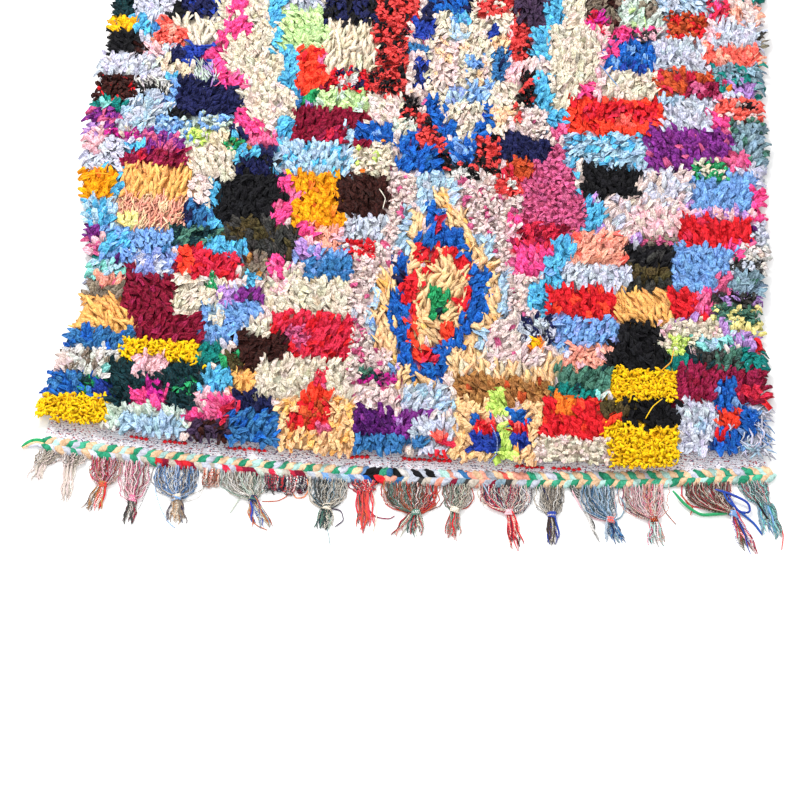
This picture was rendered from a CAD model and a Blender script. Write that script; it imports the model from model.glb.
"""Looks of a boucherouite rag rug, lying flat: a greyed cotton ground, a deep pile of knotted cloth rags,
a two-row twined edge in green, peach and aqua, and nineteen tassels of plied warp yarn.

Metres, +Z up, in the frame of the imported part. Shapes are worked out in the rug's own plane first: x from its
middle line, y from the near edge of the pile. The tassels are at the -Y end.
"""

import logging
import math
from dataclasses import dataclass, field
from enum import Enum
from typing import NamedTuple

import bpy
import numpy as np
from mathutils import Matrix, Vector

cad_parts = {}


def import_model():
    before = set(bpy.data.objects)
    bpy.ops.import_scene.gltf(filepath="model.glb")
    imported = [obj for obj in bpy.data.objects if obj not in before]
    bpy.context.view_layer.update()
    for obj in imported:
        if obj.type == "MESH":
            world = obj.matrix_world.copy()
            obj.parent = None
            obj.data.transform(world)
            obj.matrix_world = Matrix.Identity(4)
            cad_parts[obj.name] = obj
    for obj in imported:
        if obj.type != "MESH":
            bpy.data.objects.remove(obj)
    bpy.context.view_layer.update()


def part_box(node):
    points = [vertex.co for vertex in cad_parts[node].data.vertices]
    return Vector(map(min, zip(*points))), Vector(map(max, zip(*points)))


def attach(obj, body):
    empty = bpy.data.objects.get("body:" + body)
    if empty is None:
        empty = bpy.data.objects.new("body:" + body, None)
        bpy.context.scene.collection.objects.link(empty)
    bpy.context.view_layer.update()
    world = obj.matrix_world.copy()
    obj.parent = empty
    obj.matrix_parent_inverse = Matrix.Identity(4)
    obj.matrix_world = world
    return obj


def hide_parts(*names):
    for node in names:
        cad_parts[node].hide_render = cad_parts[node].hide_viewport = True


LOG = logging.getLogger("rag_rug")
BODY = "root"
CM = 0.01

# The darkest and the palest linear value that a rag's dye takes.
DARKEST, PALEST = 0.002, 0.96


class Dye(Enum):
    """The cloth and yarn colours, as sRGB hex codes."""

    CREAM = "E9DDCA"
    BEIGE = "DFCFB5"
    CHALK = "E8E4E0"
    BLUSH = "EAD4D0"
    LAVENDER = "D3D5E4"
    SILVER = "C4C9D6"
    ICE = "AFCBE0"
    SKY = "5DB5DC"
    DENIM = "7BA6DC"
    PERIWINKLE = "8FA3DC"
    STEEL = "3A76AC"
    COBALT = "1C62B8"
    ROYAL = "2440A0"
    NAVY = "1A1E4C"
    BLACK = "121116"
    CHARCOAL = "3B3A38"
    BOTTLE = "0C3238"
    GREYGREEN = "4C7A6A"
    SLATE = "86A0AE"
    DEW = "BCE4DC"
    TEAL = "12837C"
    AQUA = "8ED8D2"
    LEAFGREEN = "2A9C62"
    MINT = "46B08C"
    JADE = "2F9C76"
    GRASS = "C4DFA0"
    LIME = "CDE878"
    SAGE = "CBDACE"
    LEMON = "F3E79A"
    YELLOW = "FFC80C"
    AMBER = "F5A60E"
    OCHRE = "F6B76B"
    TAN = "F2C896"
    PEACH = "F6CFA8"
    CAMEL = "AC7844"
    BROWN = "3A1712"
    OLIVE = "4C4124"
    TAUPE = "86786A"
    GREIGE = "CFC4B6"
    RUST = "C4532A"
    ORANGE = "F4832C"
    SALMON = "F2A893"
    CORAL = "FC6A5E"
    SCARLET = "E04A48"
    VERMILION = "F8462C"
    RED = "DC202C"
    CRIMSON = "D62C4A"
    BURGUNDY = "840C30"
    WINE = "981C48"
    MAUVE = "CC5E8A"
    ROSE = "E46A96"
    HOTPINK = "F24E92"
    PINK = "F5C3CB"
    MAGENTA = "C52590"
    LILAC = "B78FD0"
    PURPLE = "82308A"
    VIOLET = "561668"
    PLUM = "43304A"

    def linear(self) -> tuple[float, float, float, float]:
        """The dye as linear red, green, blue and 1, from the sRGB curve."""
        code = int(self.value, 16)
        parts = [(code >> shift & 255) / 255 for shift in (16, 8, 0)]
        red, green, blue = (p / 12.92 if p <= 0.04045 else ((p + 0.055) / 1.055) ** 2.4 for p in parts)
        return red, green, blue, 1.0


class RagKind(Enum):
    """How the ends of a patch's rags are cut."""

    LEAF = "L"
    FINGER = "F"
    CURL = "C"
    CRUMB = "K"
    SHRED = "S"


class Patch(NamedTuple):
    """One dyed patch of the pile: its cut and dye, its box in centimetres, and a second dye and its share."""

    kind: RagKind
    dye: Dye
    left: float
    right: float
    near: float
    far: float
    second: Dye
    share: float


# The pile's dye chart. Each entry: the cut's letter, or none for leaves, the dye, left, right, near and far
# in centimetres, then a second dye and its share. Later entries lie over earlier ones.
CHART = """
blush -75 75 -5 110 lavender .2; lavender -75 -40 60 110; cream -47 -12 66 110; cream 23 35.5 74 110
lavender 44 75 60 110 blush .3; blush -12 24 10 110 mauve .18; ice 16 30 36 60 silver .4
lilac 34 72 30 60 silver .5; ice -72 -58 -2 10 silver .5; sky -70 -56 4 9; denim 48 72 -2 24 lavender .5

silver -67 -56 31 36; taupe -66 -57 31 35; F ochre -68 -54 24 32.5; burgundy -58 -46.8 29 39.8 wine .25
burgundy -55.6 -43.6 25 31.4; burgundy -55 -39.4 22 29 wine .3; cream -48 -38 29 38; denim -42 -31 27 32.3
denim -42 -34 23.5 28 sky .3; ice -41 -37.5 27 31.5 cream .5; lilac -39.6 -36 31.6 35.6
purple -36 -30 32.3 35.8 plum .3; cream -33 -27 25 29; cream -31 -11.5 31 40 beige .2
pink -30.5 -27 34.6 39 cream .5; crimson -29 -11 21 31 red .45; K mauve -26 -21 24 28 crimson .4
brown -35.3 -25 18 25.7; steel -69 -54 19.5 25 cobalt .4; C yellow -57 -42 18.6 23.2
C yellow -46 -40.6 17.2 20.6; teal -42.2 -38 18.5 23.4; olive -38 -34.6 17.3 21.4 leafgreen .4
sky -41 -34 12 18 steel .3; chalk -68 -57 13 21 taupe .45; blush -70 -66 15.5 19; aqua -60 -57.5 15.5 18
bottle -59 -41 8 19; pink -54 -48 15.5 20; magenta -51.5 -49 12 15; hotpink -54 -47 7.5 12.3 magenta .3
leafgreen -46 -42 12.5 15 bottle .5; cobalt -70.5 -60 10 15.5 steel .5
leafgreen -63.5 -59.5 11.4 14.2 bottle .5; royal -61 -57.5 8 13.5; C yellow -72 -58 3 10.5
red -70 -67.5 2 4; sage -58 -43 4 8.5; ice -55 -44 -2 7; chalk -60 -55 -1 4.5 black .45; pink -42 -36 10 13
hotpink -43 -40 5.5 8; rose -39.8 -33 6 12 hotpink .5; crimson -36.8 -33.6 6.4 10.4 burgundy .4
plum -42 -35 -1 6 brown .4; navy -34 -27 8 13.5; steel -35.5 -26 -1 9 cobalt .4; ochre -35 -27 13 18
cream -31 -12 12 21; tan -26.2 -10.8 -3 12.6 ochre .4; crimson -19.5 -17 15 18.5; rose -18 -17 15 17
vermilion -21 -16 11.5 15.5; red -22.5 -16 5.5 12 rust .45; S red -24 -22 6 10; K rose -18 -16 5 7

K blush -13 -2 16 31 mauve .35; blush -13.5 -9 30 39 silver .3; ice -10 -6 28 38 blush .4
denim -9 -6.4 26 30; ice 12.4 16 22 30; blush -2 12 12 30; F tan -8 -3.4 24 33 ochre .3
F tan -9 -6.6 30 39 ochre .3; F tan 8 12.6 24.6 31 ochre .3; F tan 12.4 15 29 39 ochre .3
F tan -5 -2.6 21 26 ochre .3; F tan -3 1.6 16 21.4 ochre .3; F tan 1.4 5 14.8 20 ochre .3
F tan 5.6 10.4 19.5 26 ochre .3; cobalt -6.8 -3.2 31.4 39; cobalt -5 0.2 27.4 33 steel .2
cobalt -3.8 -0.2 24 29; cobalt -3 0.6 20.6 25.4 steel .2; cobalt 0 6.4 17.8 23.4 steel .2
cobalt 4 7.4 21.4 25.8; cobalt 5.2 9.6 23.8 28.4; cobalt 7.8 11.4 28.6 35; cobalt 9.6 13.2 31.6 39
red -2.6 0.4 30.6 39; vermilion -1.6 1.4 25.8 31; vermilion -0.4 2.6 21.8 25.4; crimson 1 4.4 21 24 red .4
F tan 0.2 6.4 25.4 33 ochre .3; F tan 5.2 9 29 36 ochre .3; F tan -1 2.6 31 39 ochre .3
vermilion 4.8 8 26.6 30.4; red 5.6 9.4 31.4 36; leafgreen 2.4 6.2 31 37 bottle .2
denim -4.6 -2.6 18.6 20.6 lilac .5; K magenta -10.6 -2 16.6 18.8 bottle .5
K greygreen -11.4 -8.4 18.4 20 charcoal .5; blush -11.4 0 10.2 15.8 mauve .35; silver -1.4 8 10 17 ice .5
violet -11.2 -2.6 4.4 11 purple .3; purple -3.4 4.8 4.4 11 lilac .25; silver 0.6 9.4 2 9.6 lavender .5
steel -10.8 -0.8 -1 5.4; steel -1.2 3.8 2.8 5.2; coral 4.4 7.4 4.8 6.9; crimson 5.2 9 3 5
red 1.4 8.6 0 2.2 crimson .5; tan 8.6 13 0 15.5 ochre .2; tan 9.4 16.2 10.2 14.6; tan 9 27 -2 4.2 ochre .3
tan 21 27 1 15.5; camel 8.2 27 14.6 19.4 rust .1; camel 12 20 13.4 15.5; lime 15.4 18.6 11.8 16.6
lime 16.2 18 10 12; cobalt 12.2 16.4 7.8 11; cobalt 18.6 22.6 8.6 12.4; red 13 17.4 6.4 9.8 coral .4
red 19.2 22.8 6.2 9.2 coral .3; royal 12 17.6 2.6 6.6; royal 19.4 23.3 4 7; lime 17.2 19.4 4 8.6
lime 17.6 20.4 -1 4.2; F tan 6.6 29.6 19 25 beige .4; blush 14 25 22 32 mauve .2
navy 20 27.5 27 35 silver .6; orange 22 25 25.5 28.2 yellow .5; sky 22 25.5 33 38

red 26 40.5 33 39.5 vermilion .35; denim 27.5 40.5 25.5 33.5 periwinkle .4; F ochre 39 50 32 41 tan .4
black 39 47 24.5 33.5; black 36.5 50.4 22 28; K cream 47 59 27.5 34.8 pink .3; lilac 50 55 33.4 35.6
K lime 48.5 52.3 24.5 30.5 cream .4; aqua 54 60 26 30.2 ice .5; aqua 60 63.5 28 31; lemon 61 68 31.4 34.4
lilac 61 65.3 28 30.6; red 65.5 68.7 27.6 30.4; charcoal 51.5 59 21.5 27 bottle .5
greygreen 57 66 22 27.6 charcoal .4; teal 48.5 53 22 25.3; teal 63 68.7 22.5 28 sky .3
salmon 29.5 37.2 21.3 27.2 pink .3; greygreen 27.6 38.6 16.6 22.3 bottle .25
teal 26.6 35.4 13 18 bottle .35; aqua 35 39.3 14.2 17.4 chalk .5; C yellow 38 52.5 14.6 22.4
wine 50 70.5 15 24 burgundy .4; burgundy 59.5 70.5 14.6 19 red .2; crimson 62.5 70.5 17.6 20.4
black 40.5 51.5 9.6 16.2; vermilion 36.5 40.3 7.6 12.6 black .3; red 25.6 36.8 6 15.6 vermilion .35
olive 36.4 42.2 12 15.4 black .3; orange 27.6 31.3 11.5 16.3; C yellow 36.6 51.5 -2 10.2
K cream 24.5 38.3 -2 7 blush .4; lavender 50.6 58.6 4.4 16.4 ice .25; S lavender 60 71 3.4 16.6 denim .45
cobalt 57.8 62 15.2 21.4 denim .2; cobalt 56.8 63.2 3.4 11 denim .2; cobalt 62 66 9.8 16 denim .3
vermilion 58.6 62.2 11.8 15.2; red 58.2 60 7.2 10; S ice 62.6 71 1 7.2 lavender .5

K magenta -71 -58 67 70.2 cream .5; ice -71 -60 46.6 55.3 sky .6; lavender -71 -58.6 59.6 68.4
pink -71 -65.8 64.6 70; K black -72.5 -69.6 60.6 65.2 chalk .5; purple -57.4 -44.6 64 70.4 mauve .5
sky -60.8 -57 63.6 67.6; wine -61.8 -47 60 65.2 crimson .4; wine -56 -46.6 62 66 burgundy .5
cream -48.4 -37.4 58.6 67.4; blush -49.4 -41.2 52 60.6 cream .3; sky -65 -59.4 55.4 61.6 steel .3
amber -71 -62 54.4 61.2 orange .15; F ochre -60.6 -47 53 62.4; S salmon -61.4 -47 46 55.2 peach .5
lemon -60.4 -57 47.4 50.6 cream .3; steel -47.8 -40.8 46.6 54.2 navy .4; sky -43 -38.6 51 60
sky -43.6 -38.6 47.6 52 steel .3; bottle -50.6 -39.8 44.2 48.8 greygreen .5; sky -39.4 -34 63.6 70.3
black -41.8 -28 49.4 59.8; black -38.8 -28 59.4 64; navy -38.2 -28 61 65.4 black .4
navy -34.3 -30 64.6 69.3 black .4; charcoal -40 -24 40.8 50.2 olive .3; olive -38.8 -30 46.6 51 charcoal .4
brown -37.4 -33 40.6 44.4; taupe -35.4 -29.8 37.8 43.4 camel .3; purple -69.4 -63 44.8 48.2
mauve -68.6 -62.6 40.4 45.4 pink .5; violet -65 -59.2 39.6 41.8; teal -68 -63.6 35.8 41.2 ice .2
aqua -65 -57.6 36 40.2 ice .5; denim -63.2 -49 40.4 47.8 steel .2; sky -63 -58 42 46 denim .3
periwinkle -56.8 -48.6 37.8 42.4 lavender .4; salmon -63.6 -57.4 34.4 37.4 rose .4
vermilion -48 -42 38 44.6 red .4; crimson -45 -36 37 44.6 red .4; sky -43 -35 42.8 46
leafgreen -42.4 -40 35.2 38.4 chalk .5; sky -35.2 -32.4 35.8 39.2

ice -31.3 -15.4 61.8 71 sky .4; K cream -15.4 -6.4 61.6 71 orange .15; K cream -15 -9 64 69 lime .4
salmon -24.4 -15.2 45.2 51.4 pink .4; amber -27.8 -17.6 50.4 62.3 orange .2
amber -21.6 -15.6 50.2 54.6 orange .2; hotpink -29.8 -27.4 57.6 61.8; rose -27.8 -25.6 55.6 57.8
hotpink -30.6 -27 50.4 55.8 rose .3; hotpink -25.2 -21.6 47.4 51.2 salmon .4; silver -16 -7.6 47 54.4
brown -18.2 -6.2 53 62.3; K red -15.8 -8.4 43.8 47.6 chalk .4; lilac -25.8 -20 41.8 46.2 periwinkle .4
denim -20.2 -14.6 41.8 45.4; steel -23.8 -12.4 38.3 43.2 denim .3; hotpink -30 -27.2 37.8 43.4 rose .3
K blush -7.4 -1.4 42 65 mauve .3; K blush 6 22 40 62 mauve .3; K blush 14.6 24 33 42.3 mauve .3
K blush -14 -8 33 43 mauve .2; ice -1.8 6.8 55 64 silver .4; ice -4.6 -1 45.6 56; ice 9.2 14.8 40.4 50.4
ice 13.4 18 31 42.3 blush .3; ice -9.4 -5 31 38.6; blush -3 12 40 46; F tan -2.4 0.2 45.2 54.6 ochre .3
F tan 2.2 5.4 56 60.2 ochre .3; F tan 4.4 9.4 50.6 56 ochre .3; F tan 7.8 13.4 44.4 48.4 ochre .3
F tan 11.2 15.6 38 45 ochre .3; F tan 13.2 16.4 31 39 ochre .3; F tan -8 -4.2 31 41 ochre .3
F tan -2.6 0.2 40 44.6 ochre .3; F tan 8 10 48 51 ochre .3; cobalt 0 3.6 53 57 steel .2
cobalt 1 4.4 49.8 54.6; cobalt -0.8 3.4 46.6 50.8 steel .2; cobalt 3.4 8.8 46.8 51.6
cobalt 6.8 10.8 42.2 46.4; cobalt 9.8 14 33.6 42.8 steel .2; cobalt -5.2 -2.2 40.4 43.6 navy .3
navy -5.2 -3 38 40.6; cobalt -6.2 -1.4 31 37.2 steel .2; crimson 2.6 4 50 54 violet .3
red -0.8 7.8 44.2 47.2 vermilion .2; red 1 4.6 40 44.8; red 5.4 10.2 40 44.8; red -3.6 0.6 35 40.8
red -1.8 0.6 31 35.4; red 6.4 10.4 33 38.6; F tan 3.2 6.8 38 46.2; F tan 0.2 4 31 40.8
F tan 4.4 9.4 36.4 42.2; F tan 4.4 8.8 31 35.2; leafgreen 2.4 6.4 31 38 bottle .2
hotpink 17.4 20.6 51.4 55.4 rose .3; crimson 18 27.6 47.6 50.6 wine .4; pink 16.4 21.6 50 53 blush .4
hotpink 18.8 25.4 42 48.2 rose .3; sky 22 26.8 34.6 40.2

sky 28.2 30.8 61.4 66; sky 30 34 57 62.8; sky 31 35.8 53.2 58.4; sky 27.8 34.2 48 54; sky 25.6 30.8 45 50.4
sky 24.8 30 39.2 46.6 denim .3; K mauve 20 32.4 51 60.4 rose .12; K mauve 20 30.2 60 68 rose .12
K mauve 21.4 29.8 67 71.6 rose .2; crimson 19.8 28.6 50 53.2 burgundy .5; black 31.6 42.8 59.8 67.4
lavender 42.2 53.2 60 68.4 blush .5; blush 36 50.6 51.8 60.4 lavender .4; lilac 50 66 55.6 60.8 pink .6
pink 41 51.4 51.6 58 blush .5; denim 52.6 66.2 58.8 67.4; hotpink 64.6 68.6 54.6 64.4 pink .3
K silver 64 71 49.6 57 violet .3; red 50.6 64.8 49.6 57 crimson .2; hotpink 60 65 47 51.6 rose .3
salmon 30 40.6 44.4 52.2 coral .3; K taupe 43 50.4 48 52.2 mauve .5; black 39.8 50 43.6 49.8 charcoal .4
charcoal 41 49.6 38.4 44.6 olive .3; olive 41 47.6 41.6 45 black .3; denim 49.4 62 40 50.4
silver 28.6 41.2 38.4 45.2 lavender .5; K chalk 62.4 70 45 51.4 blush .4
K charcoal 60.4 67 43.4 48 silver .5; slate 60.8 71.4 39.8 45 greygreen .2; rose 57.6 60.6 40.6 44
red 25.6 40.4 33.6 39.8 vermilion .3; F ochre 38.2 49.4 33 40; red 48.8 56.4 34.4 40.6
rose 54 61 35.4 40.4 hotpink .4; K charcoal 57 69 37.4 40.6 lilac .5; K greygreen 57 69.4 33.4 37.6 lemon .4

cobalt -6.2 4.6 63.6 74.4 steel .2; K black 2.4 15.4 64.4 69 scarlet .45; K chalk 4 12 62.6 65 black .4
K scarlet 13.4 20 59.8 64.2 chalk .4; rust 16 21.6 64 68.8 crimson .4; denim 5 10.2 66.6 72.2 cobalt .5
silver -62.8 -52.2 70.4 79.6 ice .5; K denim -56 -49 69.6 74 ice .5; sky -56.6 -51 82 86.2
denim -54.6 -50.2 76.6 83 steel .4; purple -71.4 -62.8 70.2 75.4 mauve .4
lilac -70.4 -65.6 68.6 71.6 pink .5; teal -69 -62 75 78.8 aqua .3; K sage -50.4 -39.6 67.6 75.4 denim .5
K lime -48.4 -44.6 67.4 71.3 chalk .4; beige -44.3 -40.6 66.8 71; navy -41 -36.6 69.6 74 denim .3
K leafgreen -41.4 -36.6 66.6 69.4 camel .5; black -52.6 -48 73.6 77.4; navy -52.2 -39 74.8 85
lavender -67 -54.8 82.6 88.6 chalk .3; K brown -70.4 -60 77.4 83.2 red .3
S black -60.4 -53 79.2 81.6 chalk .4; S chalk -60.4 -53.6 81 83; beige -56 -49 84 88.8 cream .3
S sage -49.4 -43.6 82.8 88 lilac .4; navy -54.2 -49.6 86.8 90.4; royal -51.4 -44.6 87.2 92
sky -64.2 -59.2 93 98.4 steel .3; bottle -68.4 -62.6 97.4 104 black .3; yellow -68.4 -61.8 92 97 amber .5
black -67.6 -60 88.2 93.8; K brown -62 -58.6 88.6 91 black .4; pink -59.2 -55 87.8 91.2
lavender -62.6 -54.4 97.6 105; coral -58 -54.8 95 97.4 blush .4; F cream -54.6 -43.4 91.4 99 beige .3
K coral -58.2 -51.2 90.6 95.2 salmon .5; sky -61 -57.6 93.4 96.4 steel .3; black -55.2 -51.6 97.2 101.4
navy -52.4 -45.4 98.2 105 royal .3; cream -39.4 -28.4 70.6 84 blush .4; cream -43.6 -30 83 90 beige .3
cream -45.4 -33 89 105 beige .3; hotpink -43.4 -39.8 99.4 105; hotpink -43.6 -38.8 94.4 98.6
hotpink -45 -42.4 91 94.6; hotpink -47.2 -43.6 88 91; hotpink -45.4 -42.6 84.8 88
hotpink -43.6 -38.6 81.4 84.8 rose .3; hotpink -39.8 -36.8 72.6 76.6; hotpink -37.4 -34 69.6 74
rose -36.8 -31.4 68.2 71; sky -35.4 -31.2 97 105; sky -34 -28.8 90.4 95.2; sky -32 -27.6 81.2 91
sky -31.4 -28.4 70 75.4; steel -28.2 -24.6 77.6 82.6 sky .4; leafgreen -26.6 -24.4 78.4 81
lilac -25.4 -23.6 76.6 79 purple .5; silver -31.4 -24.4 101 110; grass -32.6 -22.8 91.4 101.2
vermilion -28.4 -21.4 81 92 red .35; rose -24.8 -22.6 88.4 90.8; black -24.2 -12.6 97.8 110 navy .5
F beige -23 -11 86.8 98.8 cream .5; K red -21.6 -12 81 87.2 navy .5; chalk -20 -16 83.4 86 red .4
burgundy -23 -20.6 79.8 83.2; grass -24.4 -12.6 76.2 82 sage .4; burgundy -28.2 -12.6 69.2 77.4
crimson -23 -18 69.6 73 wine .5; ice -17.6 -15.2 70 73.6

cream -1 15.6 72 110 blush .3; blush 0 6.6 84 96 peach .4; peach 8 12 84 92 blush .5
K cream 5 9 84 92 denim .2; blush -6.6 -3 82.4 94.2 peach .3; K scarlet -13.2 -3.6 98.6 110 black .35
K scarlet -13.8 -5 95 99 black .5; K scarlet -12.4 -5 87 95.4 black .5
K scarlet -13.6 -5.2 80.8 87.4 black .6; K black -8.6 -2.2 75.4 81.4 scarlet .35
K scarlet -2.4 3.8 69 77.8 black .3; blush -12.8 -6 73.4 81.4 cream .4; cobalt -15.4 -7.2 70.6 74.4 denim .3
sage -7.4 -3 72.6 76 cream .5; royal -4.6 0.2 95.4 100; navy -3 -1 99 103
steel -5.6 -1.4 91.6 94.2 cobalt .4; navy -3.6 -0.8 83.6 90.2 royal .5; cobalt -1.2 2 77.4 82
cobalt 0.4 3.4 75 78.2; cobalt 2.4 5.8 72.6 75.6; cobalt 11.2 14 75.4 80.6 royal .3
cobalt 9.4 12.2 73.2 76.2; steel 12.6 16.4 86 94.2 navy .5; royal 11.6 14 95.4 100; denim 7.4 10.8 88.4 92
denim 8.4 13.6 81 85.8 ice .5; sky 3.6 7.4 99.4 104 denim .5; ice 3 6.8 95.4 99 cream .4
periwinkle 3.4 7 80 84 ice .5; peach 12 15.6 94 97.2; pink 15.4 19.8 85.8 92 blush .4
cream 12.6 18.4 79.6 86; peach 13.2 17.6 75.4 80.4 blush .4; K scarlet 16 21 91.2 110 black .3
K black 18.4 22.4 80.4 88.8 scarlet .45; K scarlet 17.4 19.4 76 80 black .35
K scarlet 10 15.4 68.6 73.4 black .4; cobalt -1.6 7.6 102.6 110 navy .4; K scarlet 8.8 16.8 102 110 cream .4
plum 16.8 24 100.2 110 charcoal .3; navy 15.4 25 68 74.4; K blush 18.8 26 73 80.6 mauve .15
sky 23 26.6 100 110; sky 20.4 24.4 92 100.4; sky 21.6 24.8 80 88.4; sky 24.2 28 75.4 80
rose 25.2 28 72.8 76.8 hotpink .4

hotpink 31.2 35.4 100 110 crimson .4; pink 33.8 36.8 91.4 99.8 cream .4; blush 33.2 36.4 83.2 90.4 pink .4
hotpink 30.4 33.2 81 86.4; taupe 31.4 38.6 103.2 110 brown .4; taupe 35.4 38.4 96 104 brown .4
magenta 31.8 35.2 101 104 crimson .4; sage 37.8 46.4 99.8 110 grass .2; taupe 42 46 102.8 107 sage .3
ice 45.4 57.6 104.6 110 silver .5; K hotpink 36 45.6 96.4 101 charcoal .3; K charcoal 41.6 47 97 100 pink .5
K rust 47.6 56 97.2 105.4 red .45; pink 54.8 58.8 98 102 coral .4; crimson 56 62.6 103.4 110 hotpink .35
lavender 57.4 71.4 96 104 silver .4; blush 60 69 103 110 salmon .4; charcoal 67.4 71.6 97.6 101 taupe .4
coral 54.4 71 92.4 97.4 salmon .5; cobalt 35.2 46.4 88.8 97.2 denim .35; royal 37.6 44 88.8 91.6 cobalt .5
hotpink 35.4 37.8 93 96.4; silver 45.2 55.2 90.4 98.6; teal 56.6 68.8 85.6 93 slate .5
slate 57 68.8 89 93.4 teal .4; lilac 60.6 66.4 85.4 88.4 orange .25; navy 67.4 70 86.6 92
rust 44.6 57 84.4 91 crimson .4; wine 51.4 59 83.2 88.6 mauve .4; cream 35.6 45.4 82.4 90.2
lavender 45.4 58.2 75 84.8 silver .4; ice 45.8 50 82 85; K coral 57.4 69.4 79 84.8 blush .4
black 63.2 66 82.4 83.6; hotpink 56.6 60.4 77 81; vermilion 27.8 47.4 73.4 83.6 red .3
red 31 46 78.6 82.6 crimson .4; coral 37.6 41 77 79.6; purple 43.8 62 67.2 77.2 mauve .2
K greygreen 60.2 68 76 80 chalk .45; slate 61.8 71.4 69.6 79 greygreen .3; ice 27.8 43.8 67.2 75.2 sky .4
K leafgreen 52.8 60.4 65.8 70.4 cream .45; rose 59.6 64.4 68.2 72.4 hotpink .4
"""


@dataclass(frozen=True)
class RugPlan:
    """The rug's plan in its own plane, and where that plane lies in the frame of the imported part.

    The twined edge's middle line is a shallow bow: y = bow_y + bow_slant x + bow_curve x squared.
    """

    shift_x: float
    shift_y: float
    far_edge_y: float = 1.890
    far_hem: float = 0.030
    ground_thickness: float = 0.004
    gap: float = 0.0003
    ground_inset: float = 0.034
    rim_inset: float = 0.024
    bare_x: tuple[float, ...] = (
        -0.70, -0.58, -0.54, -0.28, -0.25, -0.12, -0.10, 0.08, 0.11, 0.22, 0.33, 0.40, 0.45, 0.505, 0.515,
        0.62, 0.69,
    )
    bare_band: tuple[float, ...] = (
        0.036, 0.034, 0.029, 0.028, 0.021, 0.020, 0.028, 0.029, 0.020, 0.019, 0.014, 0.008, 0.005, 0.008,
        0.034, 0.030, 0.018,
    )
    bow_y: float = -0.029
    bow_slant: float = 0.015
    bow_curve: float = 0.076
    edge_right_x: float = 0.692
    edge_cloth_end_x: float = -0.700
    edge_left_x: float = -0.742
    edge_end_droop: float = 0.018
    edge_width: float = 0.028
    side_y: tuple[float, ...] = (
        0.0, 0.05, 0.12, 0.20, 0.28, 0.38, 0.48, 0.60, 0.72, 0.86, 1.0, 1.2, 1.45, 1.7, 1.89,
    )
    side_left: tuple[float, ...] = (
        -0.700, -0.728, -0.716, -0.692, -0.664, -0.666, -0.684, -0.702, -0.708, -0.692, -0.682, -0.690,
        -0.702, -0.686, -0.694,
    )
    side_right: tuple[float, ...] = (
        0.694, 0.700, 0.698, 0.700, 0.688, 0.686, 0.702, 0.688, 0.700, 0.686, 0.696, 0.688, 0.698, 0.690,
        0.682,
    )

    @classmethod
    def from_frame(cls) -> "RugPlan":
        """Reads the plane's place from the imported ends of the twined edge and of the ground."""
        shift_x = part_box("twined_edge")[1].x - cls.edge_right_x
        shift_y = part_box("ground_weave")[1].y - cls.far_edge_y
        return cls(shift_x, shift_y)

    def edge_line(self, x: np.ndarray) -> np.ndarray:
        """The y of the twined edge's middle line at x; past the cloth its loose end droops.

        Args:
            x: places across the rug.

        Returns:
            y = bow_y + bow_slant x + bow_curve x squared, less the droop times the squared share past the
            cloth.
        """
        past = np.maximum(0.0, self.edge_cloth_end_x - x) / (self.edge_cloth_end_x - self.edge_left_x)
        return self.bow_y + self.bow_slant * x + self.bow_curve * x * x - self.edge_end_droop * past * past

    def reach(self, y: np.ndarray) -> tuple[np.ndarray, np.ndarray]:
        """How far the pile reaches left and right at y, by straight steps between the listed places."""
        return np.interp(y, self.side_y, self.side_left), np.interp(y, self.side_y, self.side_right)

    def near_rim(self, x: np.ndarray) -> np.ndarray:
        """The y at which the pile begins: the bare band's width above the twined edge."""
        return self.edge_line(x) + self.edge_width / 2 + np.interp(x, self.bare_x, self.bare_band)

    def pile_base(self) -> float:
        """The height on which the pile stands."""
        return self.ground_thickness + self.gap

    def in_frame(self, points: np.ndarray) -> np.ndarray:
        """Points of the rug's own plane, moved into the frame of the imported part."""
        return points + np.array([self.shift_x, self.shift_y, 0.0])


def ripple(x: np.ndarray, y: np.ndarray, wavelength: float, seed: int) -> np.ndarray:
    """A smooth uneven field, from about -1 to 1.

    Args:
        x: places across the rug.
        y: places along the rug.
        wavelength: the distance between crests, in the unit of x and y.
        seed: which field it is.

    Returns:
        The mean of seven sine waves of about that wavelength, in seeded directions and phases, times 1.6.
    """
    draw = np.random.default_rng(seed)
    total = np.zeros(np.broadcast(x, y).shape)
    waves = 7
    for _ in range(waves):
        turn, phase, stretch = draw.uniform(0, math.tau), draw.uniform(0, math.tau), draw.uniform(0.7, 1.4)
        step = math.tau / (wavelength * stretch)
        total += np.sin(step * (x * math.cos(turn) + y * math.sin(turn)) + phase)
    return total * 1.6 / waves


def unit(vectors: np.ndarray) -> np.ndarray:
    """The vectors divided by their lengths."""
    return vectors / np.maximum(np.linalg.norm(vectors, axis=-1, keepdims=True), 1e-12)


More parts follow.
